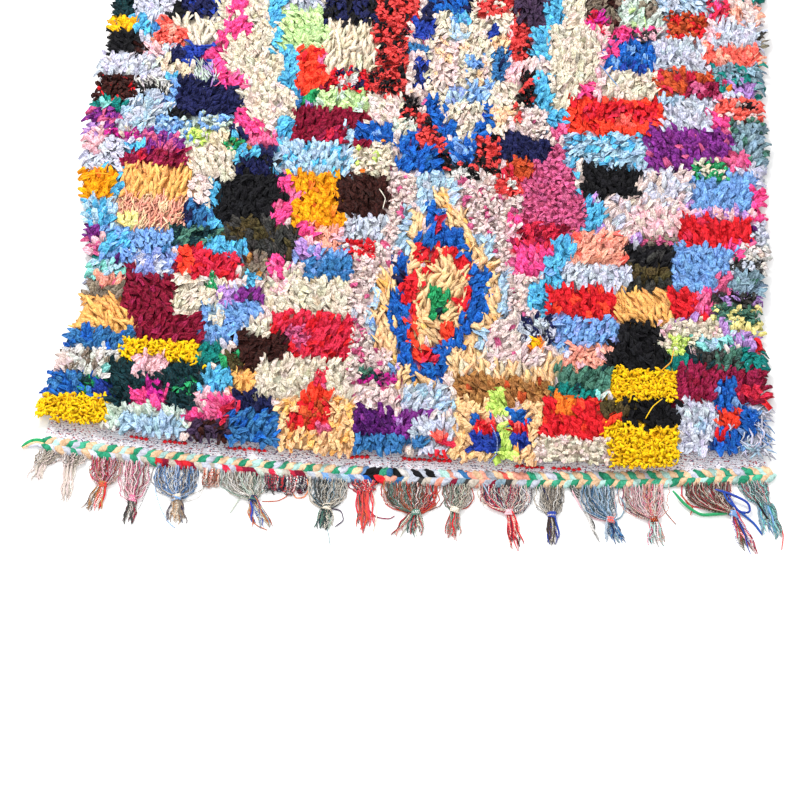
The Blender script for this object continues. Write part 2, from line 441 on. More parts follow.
@dataclass
class Cloth:
    """Points and faces of one piece, with its dyes by point and its two flat maps by face corner."""

    points: list[np.ndarray] = field(default_factory=list)
    faces: list[np.ndarray] = field(default_factory=list)
    metres: list[np.ndarray] = field(default_factory=list)
    cells: list[np.ndarray] = field(default_factory=list)
    dyes: list[np.ndarray] = field(default_factory=list)
    seconds: list[np.ndarray] = field(default_factory=list)
    count: int = 0

    def add(self, points: np.ndarray, faces: np.ndarray, metres: np.ndarray, cells: np.ndarray,
            dyes: np.ndarray, seconds: np.ndarray) -> None:
        """Adds points with faces of one corner count.

        Args:
            points: (P, 3) places.
            faces: (F, corners) indices into these points.
            metres: (F, corners, 2) places on the cloth in metres.
            cells: (F, corners, 2) places on the piece's own flat picture, 0 to 1.
            dyes: (P, 4) linear colours.
            seconds: (P, 4) linear colours of the second dye, whose fourth number is its share.
        """
        self.points.append(points)
        self.faces.append(faces + self.count)
        self.metres.append(metres)
        self.cells.append(cells)
        self.dyes.append(dyes)
        self.seconds.append(seconds)
        self.count += len(points)

    def more_faces(self, faces: np.ndarray, metres: np.ndarray, cells: np.ndarray) -> None:
        """Adds faces between points of the block that was added last."""
        self.faces.append(faces + self.count - len(self.points[-1]))
        self.metres.append(metres)
        self.cells.append(cells)

    def triangles(self) -> int:
        """How many triangles the faces come to."""
        return sum(len(block) * (block.shape[1] - 2) for block in self.faces)

    def piece(self, name: str, plan: RugPlan, material: bpy.types.Material, smooth: bool) -> bpy.types.Object:
        """Makes the mesh object, at the origin, with its place in its mesh.

        Args:
            name: the piece's name.
            plan: gives the way into the frame.
            material: the finish.
            smooth: whether faces blend into each other.

        Returns:
            The object, linked to the scene and riding on the rug's body.
        """
        mesh = bpy.data.meshes.new(name)
        points = plan.in_frame(np.concatenate(self.points))
        points[:, 2] = np.maximum(points[:, 2], 0.0)
        sizes = np.concatenate([np.full(len(block), block.shape[1]) for block in self.faces])
        corners = np.concatenate([block.ravel() for block in self.faces])
        mesh.vertices.add(len(points))
        mesh.vertices.foreach_set("co", points.astype(np.float32).ravel())
        mesh.loops.add(len(corners))
        mesh.loops.foreach_set("vertex_index", corners.astype(np.int32))
        mesh.polygons.add(len(sizes))
        mesh.polygons.foreach_set("loop_start", (np.cumsum(sizes) - sizes).astype(np.int32))
        mesh.update(calc_edges=True)
        for label, blocks in (("Cloth", self.metres), ("OFBake", self.cells)):
            layer = mesh.uv_layers.new(name=label)
            spots = np.concatenate([block.reshape(-1, 2) for block in blocks])
            layer.uv.foreach_set("vector", spots.astype(np.float32).ravel())
        for label, blocks in (("dye", self.dyes), ("second", self.seconds)):
            layer = mesh.attributes.new(label, "FLOAT_COLOR", "POINT")
            layer.data.foreach_set("color", np.concatenate(blocks).astype(np.float32).ravel())
        if smooth:
            mesh.shade_smooth()
        else:
            mesh.shade_flat()
        mesh.materials.append(material)
        item = bpy.data.objects.new(name, mesh)
        bpy.context.scene.collection.objects.link(item)
        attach(item, BODY)
        LOG.info("%s: %d triangles", name, self.triangles())
        return item


def ring_section(corners: int) -> np.ndarray:
    """A regular section, anticlockwise: points at equal turns round a circle of radius 1."""
    turns = (np.arange(corners) + 0.5) / corners * math.tau
    return np.stack([np.cos(turns), np.sin(turns)], axis=-1)


DIAMOND_SECTION = np.array([(1, 0), (0, 1), (-1, 0), (0, -1)], float)
WEDGE_SECTION = np.array([(0.87, -0.5), (0, 1), (-0.87, -0.5)], float)


def sweep(cloth: Cloth, centres: np.ndarray, side: np.ndarray, offsets: np.ndarray, dyes: np.ndarray,
          seconds: np.ndarray, draw: np.random.Generator, band: tuple[float, float] = (0.0, 1.0)) -> None:
    """Carries a closed section along many paths at once, closes both ends, and adds the result to a cloth.

    Each ring's points are centre + side times the first offset + normal times the second, where the normal is
    the path's direction crossed with side. Rings are joined by four-sided faces and the end rings are capped.

    Args:
        cloth: what the shapes are added to.
        centres: (N, R, 3) ring centres of N paths.
        side: (N, R, 3) unit vectors across each path.
        offsets: (N, R, K, 2) section points of each ring in metres, anticlockwise as seen from the path's
            end.
        dyes: (N, 4) colours.
        seconds: (N, 4) second colours with their share.
        draw: places each shape's cloth pattern.
        band: from where to where these shapes lie in the height of the piece's own flat picture.
    """
    many, rings, around = offsets.shape[:3]
    along = unit(np.gradient(centres, axis=1))
    across = unit(side - along * (side * along).sum(axis=-1, keepdims=True))
    normal = np.cross(along, across)
    points = centres[:, :, None] + across[:, :, None] * offsets[..., :1]
    points = points + normal[:, :, None] * offsets[..., 1:]
    start = np.arange(many)[:, None, None] * rings * around
    ring, turn = np.meshgrid(np.arange(rings - 1), np.arange(around), indexing="ij")
    here, after = ring * around + turn, ring * around + (turn + 1) % around
    quads = np.stack([here, after, after + around, here + around], axis=-1).reshape(1, -1, 4) + start
    place_u = np.stack([turn, turn + 1, turn + 1, turn], axis=-1) / around
    place_v = np.stack([ring, ring, ring + 1, ring + 1], axis=-1) / (rings - 1)
    flat = np.stack([place_u, place_v], axis=-1).reshape(1, -1, 4, 2).astype(float)
    girth = 2 * np.abs(offsets[..., 0]).max(axis=(1, 2)) + 2 * np.abs(offsets[..., 1]).max(axis=(1, 2))
    length = np.linalg.norm(np.diff(centres, axis=1), axis=-1).sum(axis=1)
    size = np.stack([girth, length], axis=-1)[:, None, None]
    grid = math.ceil(math.sqrt(many))
    cell = np.stack([np.arange(many) % grid, np.arange(many) // grid], axis=-1)[:, None, None]
    shift = draw.uniform(0, 1, (many, 1, 1, 2))
    margin = 0.09

    def maps(local: np.ndarray) -> tuple[np.ndarray, np.ndarray]:
        """The two flat maps of faces whose corners lie at these shares round and along."""
        local = np.broadcast_to(local, (many, *local.shape[1:]))
        cells = (cell + margin + local * (1 - 2 * margin)) / grid * (1, band[1] - band[0]) + (0, band[0])
        return (local * size + shift).reshape(-1, *local.shape[2:]), cells.reshape(-1, *local.shape[2:])

    colour = np.repeat(dyes, rings * around, axis=0)
    second = np.repeat(seconds, rings * around, axis=0)
    cloth.add(points.reshape(-1, 3), quads.reshape(-1, 4), *maps(flat), colour, second)
    if around == 3:
        end = np.array([[0, 1, 2]])
    else:
        first = np.arange(around // 2 - 1)
        end = np.stack([first, first + 1, around - 2 - first, around - 1 - first], axis=-1)
    for ring_start, order, level in ((0, end[:, ::-1], 0.0), ((rings - 1) * around, end, 1.0)):
        caps = order[None] + ring_start + start
        local = np.stack([order / around, np.full(order.shape, level)], axis=-1)[None]
        cloth.more_faces(caps.reshape(-1, order.shape[1]), *maps(local))


def slab_faces(grid: tuple[int, int]) -> tuple[np.ndarray, np.ndarray, np.ndarray]:
    """The four-sided faces of a closed slab over a grid of points.

    Args:
        grid: how many points the grid has along and across.

    Returns:
        The upper, side and lower faces, as indices into the top points followed by as many foot points.
    """
    count = grid[0] * grid[1]
    index = np.arange(count).reshape(grid)
    upper = np.stack([index[:-1, :-1], index[:-1, 1:], index[1:, 1:], index[1:, :-1]], axis=-1).reshape(-1, 4)
    rim = np.concatenate([index[0, :-1], index[:-1, -1], index[-1, :0:-1], index[:0:-1, 0]])
    following = np.roll(rim, -1)
    walls = np.stack([rim + count, following + count, following, rim], axis=-1)
    return upper, walls, upper[:, ::-1] + count


class Nodes:
    """Adds nodes to a node tree and joins them."""

    def __init__(self, tree: bpy.types.NodeTree) -> None:
        """Keeps the tree that the nodes go into."""
        self.tree = tree

    def add(self, kind: str, inputs: dict | None = None, **settings: object) -> bpy.types.Node:
        """Adds a node.

        Args:
            kind: the node's type name.
            inputs: values or output sockets, by the input's name or number.
            settings: the node's own properties.

        Returns:
            The node.
        """
        node = self.tree.nodes.new(kind)
        for key, value in settings.items():
            setattr(node, key, value)
        for key, value in (inputs or {}).items():
            socket = node.inputs[key]
            if isinstance(value, bpy.types.NodeSocket):
                self.tree.links.new(value, socket)
            else:
                socket.default_value = value
        return node

    def math(self, operation: str, *values: object) -> bpy.types.NodeSocket:
        """The result of a Math node on these values or sockets."""
        return self.add("ShaderNodeMath", dict(enumerate(values)), operation=operation).outputs[0]

    def blend(self, share: object, first: object, second: object, mode: str = "MIX") -> bpy.types.NodeSocket:
        """The colour between first and second at this share."""
        node = self.add("ShaderNodeMix", data_type="RGBA", blend_type=mode)
        for index, value in ((0, share), (6, first), (7, second)):
            if isinstance(value, bpy.types.NodeSocket):
                self.tree.links.new(value, node.inputs[index])
            else:
                node.inputs[index].default_value = value
        return node.outputs[2]

    def noise(self, place: object, scale: float, detail: float) -> bpy.types.NodeSocket:
        """The value of a noise of so many features a metre at a place."""
        node = self.add("ShaderNodeTexNoise", {"Vector": place, "Scale": scale, "Detail": detail})
        return node.outputs["Fac"]

    def steps(self, value: object, low: float, high: float, to_low: float = 0.0,
              to_high: float = 1.0) -> bpy.types.NodeSocket:
        """The value carried from low..high to to_low..to_high, held at both ends."""
        node = self.add("ShaderNodeMapRange", {0: value, 1: low, 2: high, 3: to_low, 4: to_high})
        return node.outputs[0]


def group(name: str, inputs: dict[str, str],
          outputs: dict[str, str]) -> tuple[Nodes, bpy.types.Node, bpy.types.Node]:
    """Starts a shader node group.

    Args:
        name: the group's name.
        inputs: socket types by name.
        outputs: socket types by name.

    Returns:
        The nodes of the new group, its input node and its output node.
    """
    tree = bpy.data.node_groups.new(name, "ShaderNodeTree")
    for label, kind in inputs.items():
        tree.interface.new_socket(label, in_out="INPUT", socket_type="NodeSocket" + kind)
    for label, kind in outputs.items():
        tree.interface.new_socket(label, in_out="OUTPUT", socket_type="NodeSocket" + kind)
    nodes = Nodes(tree)
    return nodes, nodes.add("NodeGroupInput"), nodes.add("NodeGroupOutput")


def print_group() -> bpy.types.NodeTree:
    """The group that lays a second dye over the first in blotches, and darkens creases and the pile's depths.

    Returns:
        The group: the second dye shows where a noise on the cloth is above a level set by the share. Light =
        crease times a share that falls towards the ground as far as the depth says. The colour is raised to
        the power 1 + 0.7 (1 - light), as cloth in a fold is lit by itself, and multiplied by 0.3 + 0.7 light
        and by a wide noise.
    """
    nodes, given, out = group(
        "printed rag",
        {
            "Dye": "Color", "Second": "Color", "Share": "Float",
            "Place": "Vector", "Crease": "Float", "Depth": "Float",
        },
        {"Color": "Color", "Roughness": "Float"},
    )
    blotch = nodes.noise(given.outputs["Place"], 190.0, 1.0)
    level = nodes.steps(given.outputs["Share"], 0.0, 1.0, 0.78, 0.34)
    over = nodes.math("MULTIPLY", nodes.math("SUBTRACT", blotch, level), 14.0)
    mask = nodes.add("ShaderNodeClamp", {0: over}).outputs[0]
    printed = nodes.blend(mask, given.outputs["Dye"], given.outputs["Second"])
    worn = nodes.noise(given.outputs["Place"], 75.0, 3.0)
    fade = nodes.steps(worn, 0.30, 0.70, 0.84, 1.14)
    spot = nodes.add("ShaderNodeTexCoord").outputs["Object"]
    height = nodes.add("ShaderNodeSeparateXYZ", {0: spot}).outputs[2]
    low = nodes.steps(height, 0.007, 0.024, 0.55, 0.0)
    deep = nodes.math("SUBTRACT", 1.0, nodes.math("MULTIPLY", low, given.outputs["Depth"]))
    light = nodes.math("MULTIPLY", given.outputs["Crease"], deep)
    power = nodes.math("SUBTRACT", 1.7, nodes.math("MULTIPLY", light, 0.7))
    rich = nodes.add("ShaderNodeGamma", {"Color": printed, "Gamma": power}).outputs[0]
    value = nodes.math("MULTIPLY", fade, nodes.math("ADD", 0.3, nodes.math("MULTIPLY", light, 0.7)))
    tone = nodes.add("ShaderNodeHueSaturation", {"Color": rich, "Value": value}).outputs[0]
    nodes.tree.links.new(tone, out.inputs["Color"])
    nodes.tree.links.new(nodes.steps(worn, 0.3, 0.7, 0.95, 0.78), out.inputs["Roughness"])
    return nodes.tree


def relief_group() -> bpy.types.NodeTree:
    """The group for a crumpled rag: fine knitted ribs along its length, and thin creases that follow them.

    Returns:
        The group: a crease is where a noise, stretched along the cloth, is near its middle value. Crease is
        the value there, from the darkest share up to 1 away from it; height = rib share times a sine across
        the cloth, plus crease share times how far the place is from a crease.
    """
    nodes, given, out = group(
        "rag relief", {"Place": "Vector", "Ribs": "Float", "Creases": "Float", "Darkest": "Float"},
        {"Height": "Float", "Crease": "Float"},
    )
    split = nodes.add("ShaderNodeSeparateXYZ", {0: given.outputs["Place"]})
    wave = nodes.math("SINE", nodes.math("MULTIPLY", split.outputs[0], math.tau * 700.0))
    ribs = nodes.math("MULTIPLY", wave, given.outputs["Ribs"])
    stretch = nodes.add("ShaderNodeMapping", {"Vector": given.outputs["Place"], "Scale": (200.0, 85.0, 1.0)})
    long_way = stretch.outputs[0]
    folded = nodes.math("ABSOLUTE", nodes.math("SUBTRACT", nodes.noise(long_way, 1.0, 1.0), 0.5))
    away = nodes.steps(folded, 0.0, 0.055)
    folds = nodes.math("MULTIPLY", nodes.steps(folded, 0.0, 0.16), given.outputs["Creases"])
    height = nodes.math("ADD", ribs, folds)
    nodes.tree.links.new(height, out.inputs["Height"])
    rise = nodes.math("MULTIPLY", away, nodes.math("SUBTRACT", 1.0, given.outputs["Darkest"]))
    nodes.tree.links.new(nodes.math("ADD", given.outputs["Darkest"], rise), out.inputs["Crease"])
    return nodes.tree


def ply_group() -> bpy.types.NodeTree:
    """The group for plied yarn: two dyes wound round each other along the yarn, flecked where it is rubbed.

    Returns:
        The group: a stripe shows the second dye where the fraction of along / pitch + round is under the
        share.
    """
    nodes, given, out = group(
        "plied yarn", {"Dye": "Color", "Second": "Color", "Share": "Float", "Place": "Vector"},
        {"Color": "Color", "Height": "Float"},
    )
    split = nodes.add("ShaderNodeSeparateXYZ", {0: given.outputs["Place"]})
    round_turn = nodes.math("MULTIPLY", split.outputs[0], 120.0)
    turn = nodes.math("ADD", nodes.math("MULTIPLY", split.outputs[1], 330.0), round_turn)
    fraction = nodes.math("FRACT", turn)
    fleck = nodes.noise(given.outputs["Place"], 160.0, 1.0)
    level = nodes.math("ADD", given.outputs["Share"], nodes.steps(fleck, 0.35, 0.65, -0.22, 0.22))
    mask = nodes.math("LESS_THAN", fraction, level)
    wound = nodes.blend(mask, given.outputs["Dye"], given.outputs["Second"])
    shade = nodes.steps(nodes.noise(given.outputs["Place"], 420.0, 2.0), 0.3, 0.7, 0.82, 1.10)
    tone = nodes.add("ShaderNodeHueSaturation", {"Color": wound, "Value": shade}).outputs[0]
    nodes.tree.links.new(tone, out.inputs["Color"])
    nodes.tree.links.new(nodes.math("SINE", nodes.math("MULTIPLY", turn, math.tau * 2)), out.inputs["Height"])
    return nodes.tree


def weave_group() -> bpy.types.NodeTree:
    """The group for the ground's plain weave: rows of weft over fine warp, flecked with dark and red yarn.

    Returns:
        The group: height is the product of two sines across and along; flecks are where a noise is above a
        level; the colour is darker between the rows, by a sine along.
    """
    nodes, given, out = group("flecked weave", {"Place": "Vector"}, {"Color": "Color", "Height": "Float"})
    split = nodes.add("ShaderNodeSeparateXYZ", {0: given.outputs["Place"]})
    warp = nodes.math("SINE", nodes.math("MULTIPLY", split.outputs[0], math.tau * 260.0))
    weft = nodes.math("SINE", nodes.math("MULTIPLY", split.outputs[1], math.tau * 210.0))
    height = nodes.math("MULTIPLY", warp, weft)
    stretch = nodes.add(
        "ShaderNodeMapping", {"Vector": given.outputs["Place"], "Scale": (230.0, 420.0, 100.0)},
    )
    long_way = stretch.outputs[0]
    streak = nodes.noise(long_way, 1.0, 1.0)
    broad = nodes.noise(given.outputs["Place"], 16.0, 2.0)
    pale = nodes.blend(nodes.steps(streak, 0.35, 0.65), (0.80, 0.78, 0.86, 1.0), (0.95, 0.94, 0.97, 1.0))
    dark = nodes.blend(nodes.steps(streak, 0.585, 0.63), pale, (0.09, 0.08, 0.17, 1.0))
    speck = nodes.noise(long_way, 0.83, 1.0)
    red = nodes.blend(nodes.steps(speck, 0.62, 0.66), dark, (0.42, 0.04, 0.06, 1.0))
    warm = nodes.blend(nodes.steps(broad, 0.40, 0.62, 0.0, 0.25), red, (0.86, 0.80, 0.76, 1.0), "MULTIPLY")
    row = nodes.math("SINE", nodes.math("MULTIPLY", split.outputs[1], math.tau / 0.0048))
    shade = nodes.steps(row, -1.0, 0.0, 0.80, 1.0)
    tone = nodes.add("ShaderNodeHueSaturation", {"Color": warm, "Value": shade}).outputs[0]
    nodes.tree.links.new(tone, out.inputs["Color"])
    nodes.tree.links.new(height, out.inputs["Height"])
    return nodes.tree


class Weave(Enum):
    """Which shared effect a finish is built on."""

    RAG = "rag"
    YARN = "yarn"
    GROUND = "ground"


@dataclass(frozen=True)
class Finish:
    """One cloth or yarn finish."""

    name: str
    weave: Weave
    roughness: float = 0.9
    sheen: float = 0.2
    ribs: float = 0.5
    creases: float = 1.0
    darkest: float = 0.45
    depth: float = 1.0
    relief: float = 0.0009
    sheen_roughness: float = 0.45
    specular: float = 0.18
    bump_strength: float = 0.6

    def material(self, groups: dict[str, bpy.types.NodeTree]) -> bpy.types.Material:
        """Builds the material.

        Args:
            groups: the shared node groups by name.

        Returns:
            A material whose colour, roughness and relief come from the groups.
        """
        made = bpy.data.materials.new(self.name)
        made.use_nodes = True
        nodes = Nodes(made.node_tree)
        shader = made.node_tree.nodes["Principled BSDF"]
        shader.inputs["Sheen Weight"].default_value = self.sheen
        shader.inputs["Sheen Roughness"].default_value = self.sheen_roughness
        shader.inputs["Specular IOR Level"].default_value = self.specular
        shader.inputs["Roughness"].default_value = self.roughness
        links = made.node_tree.links
        if self.weave is Weave.GROUND:
            place = nodes.add("ShaderNodeTexCoord").outputs["Object"]
            shown = nodes.add("ShaderNodeGroup", node_tree=groups["weave"])
            links.new(place, shown.inputs["Place"])
            height = shown.outputs["Height"]
        else:
            place = nodes.add("ShaderNodeUVMap", uv_map="Cloth").outputs["UV"]
            dye = nodes.add("ShaderNodeAttribute", attribute_name="dye")
            second = nodes.add("ShaderNodeAttribute", attribute_name="second")
            colours = "ply" if self.weave is Weave.YARN else "print"
            shown = nodes.add("ShaderNodeGroup", node_tree=groups[colours])
            for label, source in (("Dye", dye.outputs["Color"]), ("Second", second.outputs["Color"]),
                                  ("Share", second.outputs["Alpha"]), ("Place", place)):
                links.new(source, shown.inputs[label])
            if self.weave is Weave.YARN:
                height = shown.outputs["Height"]
            else:
                links.new(shown.outputs["Roughness"], shader.inputs["Roughness"])
                relief = nodes.add("ShaderNodeGroup", node_tree=groups["relief"])
                links.new(place, relief.inputs["Place"])
                relief.inputs["Ribs"].default_value = self.ribs
                relief.inputs["Creases"].default_value = self.creases
                relief.inputs["Darkest"].default_value = self.darkest
                links.new(relief.outputs["Crease"], shown.inputs["Crease"])
                shown.inputs["Depth"].default_value = self.depth
                height = relief.outputs["Height"]
        links.new(shown.outputs["Color"], shader.inputs["Base Color"])
        settings = {"Height": height, "Distance": self.relief, "Strength": self.bump_strength}
        bump = nodes.add("ShaderNodeBump", settings)
        links.new(bump.outputs["Normal"], shader.inputs["Normal"])
        return made


def read_chart(text: str) -> list[Patch]:
    """Reads the dye chart's entries, which are parted by line ends and semicolons."""
    letters = [kind.value for kind in RagKind]
    patches = []
    for entry in text.replace(";", "\n").splitlines():
        words = entry.split()
        if not words:
            continue
        kind = RagKind(words.pop(0)) if words[0] in letters else RagKind.LEAF
        dye = Dye[words[0].upper()]
        left, right, near, far = (float(word) for word in words[1:5])
        second, share = (Dye[words[5].upper()], float(words[6])) if len(words) > 5 else (dye, 0.0)
        patches.append(Patch(kind, dye, left, right, near, far, second, share))
    return patches


@dataclass(frozen=True)
class RagCut:
    """How one kind of rag end is cut and lies. Lengths are in metres, the rest are shares or radians."""

    kind: RagKind
    pitch: float
    length: tuple[float, float]
    half_width: tuple[float, float]
    half_thickness: tuple[float, float]
    rings: int
    rise: tuple[float, float]
    spread: float
    bend: float
    lean: float
    fold: float
    twist: float
    ruffle: float
    tip: tuple[float, float]
    skew: float

    def section(self) -> np.ndarray:
        """The section's corners, at shares of the half width and of the half thickness."""
        return WEDGE_SECTION if self.kind in (RagKind.CURL, RagKind.SHRED) else DIAMOND_SECTION


CUTS = {
    cut.kind: cut
    for cut in (
        RagCut(
            RagKind.LEAF, pitch=0.0104, length=(0.021, 0.035), half_width=(0.0048, 0.0080),
            half_thickness=(0.0008, 0.0013), rings=4, rise=(0.014, 0.023), spread=0.45, bend=0.003,
            lean=0.30, fold=0.60, twist=0.42, ruffle=0.20, tip=(0.30, 0.8), skew=0.5,
        ),
        RagCut(
            RagKind.FINGER, pitch=0.0118, length=(0.034, 0.048), half_width=(0.0060, 0.0084),
            half_thickness=(0.0014, 0.0022), rings=5, rise=(0.013, 0.021), spread=0.36, bend=0.003,
            lean=0.22, fold=0.35, twist=0.4, ruffle=0.16, tip=(0.10, 0.40), skew=0.4,
        ),
        RagCut(
            RagKind.CURL, pitch=0.0060, length=(0.013, 0.021), half_width=(0.0036, 0.0056),
            half_thickness=(0.0014, 0.0022), rings=6, rise=(0.017, 0.021), spread=3.14, bend=0.004,
            lean=0.55, fold=0.0, twist=0.6, ruffle=0.20, tip=(0.45, 0.85), skew=0.0,
        ),
        RagCut(
            RagKind.CRUMB, pitch=0.0096, length=(0.012, 0.018), half_width=(0.0046, 0.0068),
            half_thickness=(0.0016, 0.0026), rings=4, rise=(0.016, 0.022), spread=3.14, bend=0.002,
            lean=0.40, fold=0.2, twist=0.6, ruffle=0.25, tip=(0.45, 0.90), skew=0.5,
        ),
        RagCut(
            RagKind.SHRED, pitch=0.0078, length=(0.030, 0.048), half_width=(0.0022, 0.0040),
            half_thickness=(0.0007, 0.0012), rings=5, rise=(0.013, 0.020), spread=0.40, bend=0.004,
            lean=0.20, fold=0.2, twist=0.6, ruffle=0.22, tip=(0.20, 0.55), skew=0.0,
        ),
    )
}


@dataclass
class RagPile:
    """The shag: rag ends of five cuts over a low bed of knots, coloured by the dye chart.

    wobble, hang, drift, drift_swing, mirror_y, chart_far and flip_from are in the chart's centimetres, other
    lengths in metres.
    """

    plan: RugPlan
    seed: int = 5
    jitter: float = 0.42
    wobble: float = 0.38
    hang_y: tuple[float, ...] = (0.0, 0.14, 0.60, 1.05)
    hang: tuple[float, ...] = (0.1, 1.0, 0.8, 0.35)
    drift: float = 0.25
    drift_swing: float = 0.45
    drift_crest_x: float = -0.25
    drift_length: float = 0.80
    mirror_y: float = 93.0
    chart_far: float = 109.0
    flip_from: float = 46.0
    root_height: float = 0.006
    rim_depth: float = 0.045
    bed_cell: float = 0.018
    bed_height: float = 0.015
    bed_tone: float = 0.85
    over_edge: float = 0.0125
    palest_mean: float = 0.66
    patches: list[Patch] = field(default_factory=lambda: read_chart(CHART))

    def owners(self, x: np.ndarray, y: np.ndarray) -> tuple[np.ndarray, np.ndarray, np.ndarray]:
        """Which patch each place belongs to. Past the chart the pattern comes back mirrored.

        Rag ends hang towards the near side, so a place shows the patch that is charted up to 1 cm beyond it.
        The patches' borders wobble by two ripples, and drift sideways by drift + drift_swing times a cosine
        across.

        Args:
            x: places across, in metres.
            y: places along, in metres.

        Returns:
            The patch's number, and the place relative to the patch's middle as shares of its half sizes.
        """
        shift_x = ripple(x, y, 0.045, 1) * self.wobble
        shift_y = ripple(x, y, 0.040, 2) * self.wobble
        hang = np.interp(y, self.hang_y, self.hang)
        wave = np.cos(math.tau * (x - self.drift_crest_x) / self.drift_length)
        across = x / CM + shift_x - self.drift - self.drift_swing * wave
        along = y / CM + shift_y + hang
        past = along > self.chart_far
        along = np.where(past, 2 * self.mirror_y - along, along)
        across = np.where(past & (np.abs(across) > self.flip_from), -across, across)
        owner = np.zeros(len(x), int)
        for number, patch in enumerate(self.patches):
            inside = (across >= patch.left) & (across < patch.right)
            inside &= (along >= patch.near) & (along < patch.far)
            owner[inside] = number
        boxes = np.array([(patch.left, patch.right, patch.near, patch.far) for patch in self.patches])
        left, right, near, far = boxes[owner].T
        offset_x = (across - (left + right) / 2) / ((right - left) / 2)
        offset_y = (along - (near + far) / 2) / ((far - near) / 2)
        flipped = past & (np.abs(x / CM) > self.flip_from)
        return owner, np.where(flipped, -offset_x, offset_x), np.where(past, -offset_y, offset_y)

    def roots(self, pitch: float, draw: np.random.Generator) -> tuple[np.ndarray, np.ndarray]:
        """Places of rag ends: a staggered grid of this pitch over the pile, each moved by a share of it."""
        far = self.plan.far_edge_y - self.plan.far_hem - self.plan.rim_inset * 0.2
        columns, rows = np.arange(-0.74, 0.74, pitch), np.arange(-0.03, far, pitch * 0.92)
        x, y = np.meshgrid(columns, rows)
        x = x + (np.arange(len(rows)) % 2)[:, None] * pitch / 2
        x = (x + draw.uniform(-self.jitter, self.jitter, x.shape) * pitch).ravel()
        y = (y + draw.uniform(-self.jitter, self.jitter, y.shape) * pitch).ravel()
        left, right = self.plan.reach(y)
        inset = self.plan.rim_inset * 0.45
        inside = (x > left + inset) & (x < right - inset) & (y > self.plan.near_rim(x)) & (y < far)
        return x[inside], y[inside]

    def surface(self, x: np.ndarray, y: np.ndarray, offset_x: np.ndarray, offset_y: np.ndarray) -> np.ndarray:
        """How much higher the pile stands at a place: waves and clumps, less towards a patch's borders."""
        lumps = 0.0022 * ripple(x, y, 0.16, 3) + 0.0024 * ripple(x, y, 0.055, 4)
        border = np.maximum(np.abs(offset_x), np.abs(offset_y))
        return lumps - 0.0040 * np.clip((border - 0.62) / 0.38, 0, 1) ** 2

    def colours(self, x: np.ndarray, y: np.ndarray, owner: np.ndarray,
                draw: np.random.Generator) -> tuple[np.ndarray, np.ndarray]:
        """Each rag end's dyes: its patch's own or, in clumps of the second dye's share, the second.

        Args:
            x: places across.
            y: places along.
            owner: patch numbers.
            draw: the random draws.

        Returns:
            (N, 4) dyes and (N, 4) second dyes with their share.
        """
        first = np.array([patch.dye.linear() for patch in self.patches])[owner]
        second = np.array([patch.second.linear() for patch in self.patches])[owner]
        share = np.array([patch.share for patch in self.patches])[owner]
        clumps = 0.5 + 0.42 * ripple(x, y, 0.034, 6) + draw.normal(0, 0.10, len(owner))
        swap = clumps < share * 0.9
        main = np.where(swap[:, None], second, first)
        other = np.where(swap[:, None], first, second)
        tone = np.exp(draw.normal(0, 0.10, (len(owner), 1))) * np.exp(draw.normal(0, 0.035, (len(owner), 3)))
        main[:, :3] *= tone
        main[:, :3] *= np.minimum(1, self.palest_mean / main[:, :3].mean(axis=1, keepdims=True))
        main[:, :3] = np.clip(main[:, :3], DARKEST, PALEST)
        other[:, 3] = np.where(share > 0, share * draw.uniform(0.2, 1.1, len(owner)), 0.0)
        return main, other

    def headings(self, x: np.ndarray, y: np.ndarray, owner: np.ndarray, offset_x: np.ndarray,
                 offset_y: np.ndarray, cut: RagCut, draw: np.random.Generator) -> np.ndarray:
        """The way each rag end lies: its patch's own way, drawn outwards at borders and at the rug's rim.

        Args:
            x: places across.
            y: places along.
            owner: patch numbers.
            offset_x: place in the patch, across.
            offset_y: place in the patch, along.
            cut: the rag's cut.
            draw: the random draws.

        Returns:
            (N, 2) unit vectors: the patch's way turned by a random angle, plus the outward pulls.
        """
        ways = np.random.default_rng(self.seed + 1)
        lean = ways.uniform(-0.7, 0.7, len(self.patches))
        upward = ways.uniform(size=len(self.patches)) < 0.8
        turn = np.where(upward, math.pi / 2, -math.pi / 2) + lean
        turn = turn[owner] + draw.normal(0, cut.spread, len(x))
        back = draw.uniform(size=len(x)) < 0.12
        turn = turn + np.where(back, math.pi, 0.0)
        way = np.stack([np.cos(turn), np.sin(turn)], axis=-1)
        way += 0.25 * np.stack([offset_x, offset_y], axis=-1)
        left, right = self.plan.reach(y)
        near, far = self.plan.near_rim(x), self.plan.far_edge_y - self.plan.far_hem
        depth = self.rim_depth
        pull_x = np.clip((x - right + depth) / depth, 0, 1) - np.clip((left + depth - x) / depth, 0, 1)
        near_depth = depth * 0.6
        beyond = np.clip((y - far + depth) / depth, 0, 1)
        pull_y = beyond - np.clip((near + near_depth - y) / near_depth, 0, 1)
        return unit(way + 2.2 * np.stack([pull_x, pull_y], axis=-1))

